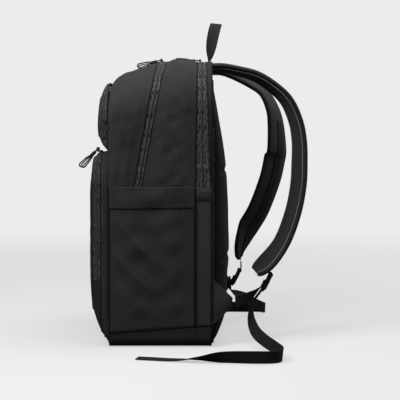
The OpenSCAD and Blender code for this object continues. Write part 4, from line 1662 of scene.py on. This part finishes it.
@dataclass
class LockEnds:
    """Webbing round a ladder lock's two bars, and down to the corner tab."""

    hand: int
    at: tuple[float, float, float]
    leg_lean: float
    leg: float
    leg_side: int
    between: tuple[tuple[float, float, float], ...]
    turns: tuple[tuple[float, float, float], ...]
    tilt: float = -25.6
    bar_gap: float = 2.8 * MM
    bar_z: float = -12 * MM

    def placed(self, points: np.ndarray) -> np.ndarray:
        """Points counted from the lock, put on their own side of the bag.

        Args:
            points: points counted from the lock, in metres.

        Returns:
            The moved points.
        """
        moved = points + np.array(self.at) * MM
        moved[:, 0] *= self.hand
        return moved

    def loop(self, name: str, side: int, leg: float, angle: float, bar: float, radius: float) -> Object:
        """Webbing that turns round a bar and lies back on itself.

        Args:
            name: the piece's name.
            side: 1 where the free leg lies behind the bar and -1 where it lies before it.
            leg: length of the free leg.
            angle: how far it leans, in degrees.
            bar: height of the bar.
            radius: its radius.

        Returns:
            The new object.
        """
        turn = np.linspace(0, -1.5 * math.pi, 22) if side > 0 else np.linspace(math.pi, 2.5 * math.pi, 22)
        ring = np.stack([0 * turn, radius * np.cos(turn), radius * np.sin(turn)], 1)
        up = np.array([[0, side * radius, leg * (1 - t)] for t in np.linspace(0, 0.9, 8)])
        path = np.concatenate([up, ring])
        lean = math.radians(angle)
        spin = np.array([[1, 0, 0],
                         [0, math.cos(lean), -math.sin(lean)],
                         [0, math.sin(lean), math.cos(lean)]])
        path = path @ spin.T + np.array([0, 0, bar]) @ spin.T
        path = self.placed(path)
        across = facing((1, 0, 0), len(path))
        up = np.cross(tangents(path), across)
        return sweep(name, path, across, up, flat_section(WEBBING_WIDTH, WEBBING_THICKNESS))

    def build(self) -> None:
        """Builds and dresses the loops and the lower webbing."""
        side = SIDE_NAMES[self.hand]
        top = self.loop("lock_top_loop_" + side, self.leg_side, self.leg * MM, self.leg_lean, 0, self.bar_gap)
        dressed(top, "bag", WEBBING_CLOTH, "webbing")
        wrap = self.loop("lock_wrap_cloth_" + side, -1, -10 * MM, self.tilt, self.bar_z, 2.6 * MM)
        dressed(wrap, "lock_" + side, WEBBING_CLOTH, "webbing", "lock_wrap_" + side)
        foot = np.array([0, -10.4, -10.6])
        tip = np.array([135 - 0.5, 123 + 1.6, 74]) - np.array(self.at)
        points = [foot, foot + np.array([0, -4.4, -9])] + [np.array(p) for p in self.between] + [tip]
        turns = [(1, 0, 0), (1, 0, 0), *self.turns, (0, 0, 1)]
        route = self.placed(np.array(points) * MM)
        wide = np.array(turns, float) * np.array([self.hand, 1, 1])
        strip = ribbon(f"lower_webbing_strip_{side}", route, wide, 7)
        dressed(strip, "bag", WEBBING_CLOTH, "webbing", "lower_webbing_" + side)


@dataclass
class CornerTab:
    """Triangle of doubled cloth that ties the lower webbing to the bag's bottom corner."""

    hand: int
    top: tuple[float, float, float] = (144, 84.5, 113)
    low: tuple[float, float, float] = (144, 84.5, 36)
    tip: tuple[float, float, float] = (134.5, 125, 74)

    def build(self) -> None:
        """Builds and dresses the tab, its bound edges and its stitches."""
        side = SIDE_NAMES[self.hand]
        a, b, tip = (np.array(p) * MM * np.array([self.hand, 1, 1]) for p in (self.top, self.low, self.tip))
        normal = unit(np.cross(b - a, tip - a))
        outward = normal if normal[0] * self.hand > 0 else -normal
        rows = np.linspace(0, 0.86, 26)
        columns = np.linspace(0, 1, 30)
        grid = np.array([[(a + (b - a) * c) * (1 - r) + tip * r for c in columns] for r in rows])
        bow = np.sin(math.pi * columns)[None] * np.sin(math.pi * np.linspace(0, 1, 26))[:, None]
        rumple = ripple(grid, 40 * MM, 51)
        grid = grid + outward * ((2.2 * bow + 0.5 * rumple * bow) * MM)[..., None]
        inside = grid.mean((0, 1)) - outward * 0.05
        cloth = cloth_grid(f"corner_tab_cloth_{side}", grid, inside, 2.6 * MM)
        dressed(cloth, "bag", TAB_CLOTH, "base_fabric", "corner_tab_" + side)
        stitches, welts = [], []
        for column in (0, -1):
            edge = grid[:, column]
            up = facing(outward, len(edge))
            welts.append(tube("welt", edge - outward * 1.2 * MM, up, 1.7 * MM, 8))
            for step in (3, 6):
                line = grid[:, step if column == 0 else -1 - step] + outward * 0.2 * MM
                stitches.append(repeated("row", line, up, 3.0 * MM, (2.2 * MM, 0.7 * MM, 0.6 * MM)))
        end = grid[-6:, :]
        corners = [end[0, 9], end[0, -10], end[-1, 6], end[-1, -7]]
        for p, q in ((0, 1), (2, 3), (0, 3), (1, 2)):
            line = np.array([corners[p] + (corners[q] - corners[p]) * t for t in np.linspace(0, 1, 12)])
            up = facing(outward, len(line))
            stitches.append(repeated("row", line + outward * 0.4 * MM, up, 2.0 * MM,
                                     (1.7 * MM, 0.7 * MM, 0.7 * MM)))
        dressed(joined(f"corner_tab_welts_{side}", welts), "bag", TAB_CLOTH, "base_fabric")
        # The stitch rows take the near-black seam material: painted shade in the stitch lines.
        dressed(joined(f"corner_tab_stitches_{side}", stitches), "bag", SEAM_SHADE, "base_fabric")


@dataclass
class LooseTail:
    """Free end of the lower webbing, which hangs from its lock and lies along the floor."""

    hand: int
    points: tuple[tuple[float, float, float], ...]
    turns: tuple[tuple[float, float, float], ...]

    def build(self) -> None:
        side = SIDE_NAMES[self.hand]
        flip = np.array([self.hand, 1, 1])
        route = np.array(self.points, float) * MM * flip
        steps = 9
        strip = ribbon("webbing_end_" + side, route, np.array(self.turns, float) * flip, steps)
        dressed(strip, "bag", WEBBING_CLOTH, "webbing", "webbing_tail_" + side)


@dataclass
class GrabHandle:
    """Webbing loop at the top of the back, for a hand or a hook."""

    span: float = 66.0
    rise: float = 69.0
    thickness: float = 2.1 * MM

    def build(self) -> None:
        """Builds and dresses the loop and its stitches."""
        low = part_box("grab_handle")[0]
        a, h = self.span / 2, self.rise
        half = [(a, 0, 0), (a, 0, 0.12 * h), (a + 0.5, 2, 0.3 * h), (a * 0.93, 4.5, 0.55 * h),
                (a * 0.75, 8, 0.8 * h), (a * 0.42, 11, 0.96 * h)]
        turn = [(1, 0, 0), (1, 0.15, 0), (0.8, 0.7, 0), (0.25, 1, 0.1), (0, 1, 0.1), (0, 1, 0.1)]
        root = np.array([0, 82.0, low.z / MM])
        points = ([np.array([-x, y, z]) + root for x, y, z in half] + [np.array([0, 12, h]) + root]
                  + [np.array(p) + root for p in half[::-1]])
        turns = ([(x, -y, z) for x, y, z in turn] + [(0, -1, 0.1)]
                 + [(-x, -y, z) for x, y, z in turn[::-1]])
        loop = ribbon("handle_loop", np.array(points) * MM, turns, 8, thickness=self.thickness)
        dressed(loop, "grab_handle", WEBBING_CLOTH, "webbing", "grab_handle")


# ---------- zipper fittings ----------


@dataclass
class ZipperFitting:
    """Slider with a bridge, and its pull: a moulded grip on a loop of cord."""

    node: str
    tilt: float
    sideways: bool = False
    length: float = 14 * MM
    depth: float = 8 * MM
    height: float = 3 * MM
    pin_off: float = -3.6 * MM
    pin_z: float = 5.8 * MM
    pull_length: float = 44 * MM

    def place(self) -> Matrix:
        """Where the slider's base stands, from its node's box.

        Returns:
            The matrix of the place.
        """
        low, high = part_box(self.node)
        if not self.sideways:
            return Matrix.Translation(((low.x + high.x) / 2, high.y - self.depth / 2, low.z))
        turned = Matrix.Rotation(math.radians(-90), 4, "Z") @ Matrix.Rotation(math.radians(90), 4, "X")
        return Matrix.Translation((high.x, (low.y + high.y) / 2, (low.z + high.z) / 2)) @ turned

    def box(self, size: Sequence[float], at: Sequence[float], bevel: float) -> Object:
        """Block with softened edges.

        Args:
            size: its three sizes.
            at: its middle.
            bevel: how far its edges are rounded.

        Returns:
            The new object.
        """
        deselect()
        bpy.ops.mesh.primitive_cube_add(size=1, location=at, scale=size)
        block = bpy.context.active_object
        bpy.ops.object.transform_apply(location=True, rotation=True, scale=True)
        bpy.ops.object.mode_set(mode="EDIT")
        bpy.ops.mesh.select_all(action="SELECT")
        bpy.ops.mesh.bevel(offset=bevel, segments=3, affect="EDGES")
        bpy.ops.object.mode_set(mode="OBJECT")
        return block

    def slider(self) -> Object:
        """Slider: a plate with a waist, a raised crown, two ears and the pin between them.

        Returns:
            The new object.
        """
        long, deep = (self.depth, self.length) if self.sideways else (self.length, self.depth)
        plate = self.box((long, deep, 1.3 * MM), (0, 0, 0.65 * MM), 0.5 * MM)
        crown = self.box((long * 0.86, deep * 0.8, 1.6 * MM), (0, 0, 2.1 * MM), 0.7 * MM)
        ears = [self.box((1.4 * MM, 2.6 * MM, 3.6 * MM), (s * 3.9 * MM, self.pin_off, 4.3 * MM), 0.5 * MM)
                for s in (-1, 1)]
        pin = np.array([(x * MM, self.pin_off, self.pin_z) for x in np.linspace(-4.2, 4.2, 9)])
        bridge = tube("pin", pin, facing((0, 0, 1), len(pin)), 0.9 * MM, 12)
        return joined(self.node + "_metal", [plate, crown, *ears, bridge])

    def pull(self) -> Object:
        """Pull: an eye on the pin, a moulded grip and a loop of cord, which reach towards -Y.

        Returns:
            The new object.
        """
        eye_r = 1.75 * MM
        turn = np.linspace(0, 2 * math.pi, 25)
        eye = tube("eye", np.stack([0 * turn, eye_r * np.cos(turn), eye_r * np.sin(turn)], 1),
                   facing((1, 0, 0), len(turn)), 0.62 * MM, 8)
        neck = self.box((4.4 * MM, 6.5 * MM, 1.9 * MM), (0, -5.6 * MM, 0), 0.6 * MM)
        count = 30
        grip_y = np.linspace(-8, -21, count) * MM
        swell = 2.45 * MM + 0.3 * MM * np.cos(np.arange(count) * 2 * math.pi / 6)
        swell[[0, -1]] *= 0.72
        ring = np.linspace(0, 2 * math.pi, 16, endpoint=False)
        shape = np.stack([np.cos(ring), np.sin(ring) * 0.92], 1)
        grip = sweep("grip", np.stack([0 * grip_y, grip_y, 0 * grip_y], 1),
                     facing((1, 0, 0), count), facing((0, 0, 1), count), swell[:, None, None] * shape)
        half, end = 3.5, -self.pull_length / MM + 4.7
        bend = [(0.2 * half * math.cos(t), end - half * math.sin(t), half * math.cos(t))
                for t in np.linspace(0, math.pi, 13)]
        cord = ([(0, -19, half * 0.4), (0.3, -26, half * 0.8)] + bend
                + [(-0.3, -26, -half * 0.8), (0, -19, -half * 0.4)])
        route = spline(np.array(cord) * MM, 4)
        loop = tube("loop", route, facing((1, 0, 0), len(route)), 1.15 * MM, 10)
        return joined(self.node.replace("slider", "pull") + "_cord", [eye, neck, grip, loop])

    def build(self) -> None:
        """Builds, places and dresses the slider and its pull."""
        place = self.place()
        slider, pull = self.slider(), self.pull()
        hinge = Matrix.Translation((0, self.pin_off, self.pin_z))
        turned = place @ hinge @ Matrix.Rotation(math.radians(self.tilt), 4, "X")
        for piece, matrix in ((slider, place), (pull, turned)):
            piece.data.transform(matrix)
            only(piece)
            bpy.ops.object.shade_smooth_by_angle(angle=math.radians(40))
        dressed(slider, self.node, SLIDER_PAINT, "slider", self.node)
        other = self.node.replace("slider", "pull")
        dressed(pull, other, PULL_RUBBER, "zipper_pull", other)


@dataclass
class Inside:
    """What the open bag shows: the padded divider, the frame sheet and the base board."""

    seams: int = 4

    def build(self) -> None:
        """Builds the quilted divider and dresses the boards."""
        low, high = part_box("laptop_divider")
        z = np.linspace(low.z, high.z, 70)
        x = np.linspace(low.x + 1 * MM, high.x - 1 * MM, 60)
        radius = 50 * MM
        over = np.clip(z - (high.z - radius), 0, radius)
        half = (high.x - radius + np.sqrt(radius ** 2 - over ** 2)) / high.x
        xx = x[None] * half[:, None]
        zz = np.repeat(z[:, None], 60, 1)
        quilt = np.abs(np.sin(math.pi * self.seams * (zz - low.z) / (high.z - low.z))) ** 0.4
        y = high.y - 1.5 * MM - (high.y - low.y - 1.5 * MM) * quilt * fade(60, 0.08)[None]
        pad = cloth_grid("divider_pad", np.stack([xx, y, zz], -1), (0, high.y + 0.1, 0.2), 1.2 * MM)
        dressed(pad, "bag", LINING, "lining", "laptop_divider")
        for node, finish in (("frame_sheet", BOARD), ("base_board", BOARD),
                             ("ladder_lock_right", BUCKLE), ("ladder_lock_left", BUCKLE)):
            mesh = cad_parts[node].data
            mesh.materials.clear()
            mesh.materials.append(finish.material())


# ---------- studio ----------


@dataclass
class Studio:
    """Plain pale floor, soft light and the camera."""

    distance: float = 1.9
    eye: float = 0.35
    down: float = 3.46
    lens: float = 96.66
    backdrop: float = 0.838
    ambient: float = 0.16
    aim: tuple[float, float, float] = (0, 0, 0.2)
    floor_size: float = 14
    floor_bounce: float = 0.12
    floor_seen: float = 0.66
    glow_from: float = 0.5
    glow_full: float = 2.2
    glow_least: float = 0.62

    def camera(self) -> None:
        """Camera square to the bag's right side."""
        data = bpy.data.cameras.new("camera")
        data.lens = self.lens
        camera = bpy.data.objects.new("camera", data)
        bpy.context.scene.collection.objects.link(camera)
        camera.location = (self.distance, 0.0656, self.eye)
        camera.rotation_euler = (math.radians(90 - self.down), 0, math.radians(90))
        bpy.context.scene.camera = camera

    def lamp(self, name: str, place: Sequence[float], size: float, power: float) -> None:
        """Square area lamp that faces the bag's middle.

        Args:
            name: the lamp's name.
            place: where it stands.
            size: length of its sides.
            power: its power in watts.
        """
        data = bpy.data.lights.new(name, "AREA")
        data.shape, data.size, data.energy = "SQUARE", size, power
        lamp = bpy.data.objects.new(name, data)
        bpy.context.scene.collection.objects.link(lamp)
        lamp.location = place
        lamp.visible_camera = False
        lamp.rotation_euler = (Vector(self.aim) - Vector(place)).to_track_quat("-Z", "Y").to_euler()

    def world(self) -> None:
        """Even light all round, seen by the camera as pale grey."""
        world = bpy.data.worlds.new("studio")
        bpy.context.scene.world = world
        world.use_nodes = True
        n = Nodes(world.node_tree)
        background = world.node_tree.nodes["Background"]
        path = n.add("LightPath")
        background.inputs["Color"].default_value = (1, 1, 1, 1)
        strength = n.math("MULTIPLY", path.outputs["Is Camera Ray"], self.backdrop - self.ambient)
        n.link(n.math("ADD", strength, self.ambient), background.inputs["Strength"])

    def floor(self) -> None:
        """Wide floor that keeps the shadow near the bag and glows as evenly as the backdrop far off."""
        deselect()
        bpy.ops.mesh.primitive_plane_add(size=self.floor_size, location=(0, 0, 0))
        plane = bpy.context.active_object
        plane.name = "floor"
        material = bpy.data.materials.new("pale floor")
        material.use_nodes = True
        tree = material.node_tree
        n = Nodes(tree)
        shader = tree.nodes["Principled BSDF"]
        shader.inputs["Roughness"].default_value = 0.9
        shader.inputs["Specular IOR Level"].default_value = 0.0
        path, glow, mixed = n.add("LightPath"), n.add("Emission"), n.add("MixShader")
        glow.inputs["Color"].default_value = (1, 1, 1, 1)
        glow.inputs["Strength"].default_value = self.backdrop
        seen = path.outputs["Is Camera Ray"]
        base = n.blend(seen, (self.floor_bounce,) * 3, (self.floor_seen,) * 3)
        n.link(base, shader.inputs["Base Color"])
        away = n.add("VectorMath", operation="LENGTH")
        ramp = n.add("MapRange", interpolation_type="SMOOTHSTEP")
        n.link(n.add("TexCoord").outputs["Object"], away.inputs[0])
        n.link(away.outputs["Value"], ramp.inputs["Value"])
        for key, value in (("From Min", self.glow_from), ("From Max", self.glow_full),
                           ("To Min", self.glow_least), ("To Max", 1.0)):
            ramp.inputs[key].default_value = value
        n.link(n.math("MULTIPLY", seen, ramp.outputs[0]), mixed.inputs[0])
        n.link(shader.outputs[0], mixed.inputs[1])
        n.link(glow.outputs[0], mixed.inputs[2])
        n.link(mixed.outputs[0], tree.nodes["Material Output"].inputs["Surface"])
        plane.data.materials.append(material)

    def build(self) -> None:
        """Sets up light, floor and colour."""
        bpy.context.scene.view_settings.view_transform = "Standard"
        self.world()
        self.floor()
        self.lamp("key", (0.8, -0.65, 1.3), 0.7, 19)
        self.lamp("top", (0.25, 0.3, 1.7), 0.9, 15)
        self.lamp("rear", (-0.5, 1.6, 1.5), 1.2, 12)


def tails() -> list[LooseTail]:
    """The two loose ends of webbing, on the routes that their solids follow.

    Returns:
        The right and the left tail.
    """
    right = LooseTail(
        RIGHT,
        ((80, 173.8, 93.4), (80, 169.6, 85), (81, 162, 75), (88, 154, 64), (101, 151, 50), (120, 152, 37),
         (150, 158, 26), (182, 170, 19), (215, 183, 15), (245, 193, 12), (266, 190, 11),
         (277, 174, 11), (277, 141, 11), (271, 103, 10), (262, 65, 6), (252, 27, 2),
         (243, -8, 1.5), (237, -33, 1.5)),
        ((1, 0, 0), (1, 0, 0), (1, 0, 0), (1, 0.1, 0.2), (0.8, 0.4, 0.5), (0.5, 0.5, 0.6),
         (0.3, 0.6, 0.7), (0.2, 0.5, 0.8), (0.1, 0.3, 0.9), (0, 0.2, 1), (0.1, 0, 1),
         (0.1, 0, 1), (0.1, 0, 1), (0.3, 0, 0.9), (0.8, 0.1, 0.4), (1, 0.2, 0.06),
         (1, 0.2, 0), (1, 0.2, 0)))
    left = LooseTail(
        LEFT,
        ((98, 127.4, 78.7), (98, 123, 70), (98, 122.5, 62), (104, 128, 54), (120, 139, 47), (142, 155, 38),
         (168, 172, 24), (190, 189, 13), (202, 193, 11), (207, 180, 11), (207, 150, 11),
         (207, 120, 11), (206, 88, 9), (202, 50, 4), (197, 12, 1.5), (193, -24, 1.5)),
        ((1, 0, 0), (1, 0, 0), (1, -0.2, 0.1), (0.9, -0.3, 0.4), (0.6, 0, 0.8), (0.4, 0.3, 0.8),
         (0.2, 0.3, 0.9), (0.1, 0.2, 1), (0.1, 0, 1), (0.1, 0, 1), (0.1, 0, 1),
         (0.1, 0, 1), (0.4, 0, 0.8), (0.9, 0.1, 0.25), (1, 0.1, 0), (1, 0.1, 0)))
    return [right, left]


def straps() -> list[ShoulderStrap]:
    """Both shoulder straps, by the outer edge that each shows from the side.

    Returns:
        The right and the left strap.
    """
    right = ShoulderStrap(
        RIGHT,
        ((0, 0), (20, 0.5), (46, -4), (80, -13), (113, -33), (138, -58), (155, -95), (162, -132),
         (163, -169), (162, -200), (157, -234), (149, -265), (137, -298), (122, -325), (104, -348),
         (86, -365)), (8, 14, 20), 25)
    left = ShoulderStrap(
        LEFT,
        ((0, 0), (20, 0.5), (43, -5), (76, -18), (107, -36), (128, -66), (139, -101), (144, -149),
         (141, -173), (134, -206), (120, -247), (107, -277), (87, -310), (69, -338), (58, -355)),
        (10, 37, 4), 36)
    return [right, left]


def lock_ends() -> list[LockEnds]:
    """Webbing at the two ladder locks.

    Returns:
        The right and the left side's webbing.
    """
    right = LockEnds(RIGHT, (80, 186, 113), 13, 12.5, -1,
                     ((3, -21, -26), (14, -30, -32), (30, -42, -36)),
                     ((0.95, 0, 0.3), (0.75, 0, 0.65), (0.3, 0, 0.95)))
    left = LockEnds(LEFT, (98, 139.4, 98), 0, 16, 1,
                    ((3, -21.5, -26), (13, -23.5, -29.5), (26, -20.5, -29)),
                    ((0.9, 0, 0.45), (0.45, 0, 0.9), (0, 0, 1)))
    return [right, left]


def pockets(body: BagBody) -> list[ZippedPocket]:
    """The front pocket and the pocket on the lid, set on the bag's front face.

    Args:
        body: the bag's shell, on whose front face they stand.

    Returns:
        The two pockets.
    """
    front = body.front
    big = FrontPocket(
        "bag", 140 * MM, 60 * MM, 18 * MM,
        depths=(front - 0.2 * MM, front - 12 * MM, front - 20 * MM, front - 27 * MM),
        lows=(4 * MM, 20 * MM, 38 * MM, 60 * MM),
        highs=(321 * MM, 321 * MM, 320.5 * MM, 313.5 * MM),
        band_start=front - 13 * MM, band_end=front - 27 * MM, crown=11 * MM, centre=0.19, seed=61)
    small = LidPocket(
        "front_lid", 132 * MM, 66 * MM, 6 * MM,
        depths=(front - 0.2 * MM, front - 6 * MM, front - 12 * MM, front - 16 * MM),
        lows=(324 * MM, 329 * MM, 338 * MM, 348 * MM),
        highs=(438 * MM, 437 * MM, 427 * MM, 415 * MM),
        band_start=front - 2 * MM, band_end=front - 16 * MM, crown=7 * MM, centre=0.38, seed=71)
    return [big, small]


def fittings() -> list[ZipperFitting]:
    """All six sliders with their pulls.

    Returns:
        One entry for each slider.
    """
    return [ZipperFitting("main_slider_right", 15), ZipperFitting("main_slider_left", 15),
            ZipperFitting("laptop_slider", 0), ZipperFitting("pocket_slider_right", 45),
            ZipperFitting("pocket_slider_left", 48), ZipperFitting("upper_slider", 0, True)]


def main() -> None:
    """Builds the whole backpack and its studio."""
    logging.basicConfig(level=logging.INFO, format="%(message)s")
    studio = Studio()
    studio.camera()
    for tail in tails():
        tail.build()
    shell_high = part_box("main_gusset")[1]
    body = BagBody(side=shell_high.x, front=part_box("front_wall")[0].y, back=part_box("back_panel")[1].y,
                   height=shell_high.z, crease=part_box("front_lid")[0].z)
    pad_low, pad_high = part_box("back_mesh")
    back = PaddedBack(half=pad_high.x, root=pad_low.y, low=pad_low.z, high=pad_high.z)
    tabs = [CornerTab(RIGHT), CornerTab(LEFT)]
    for assembly in [body, *pockets(body), back, *straps(), *lock_ends(), *tabs, GrabHandle(),
                     *fittings(), Inside(), studio]:
        assembly.build()


if __name__ == "__main__":
    main()
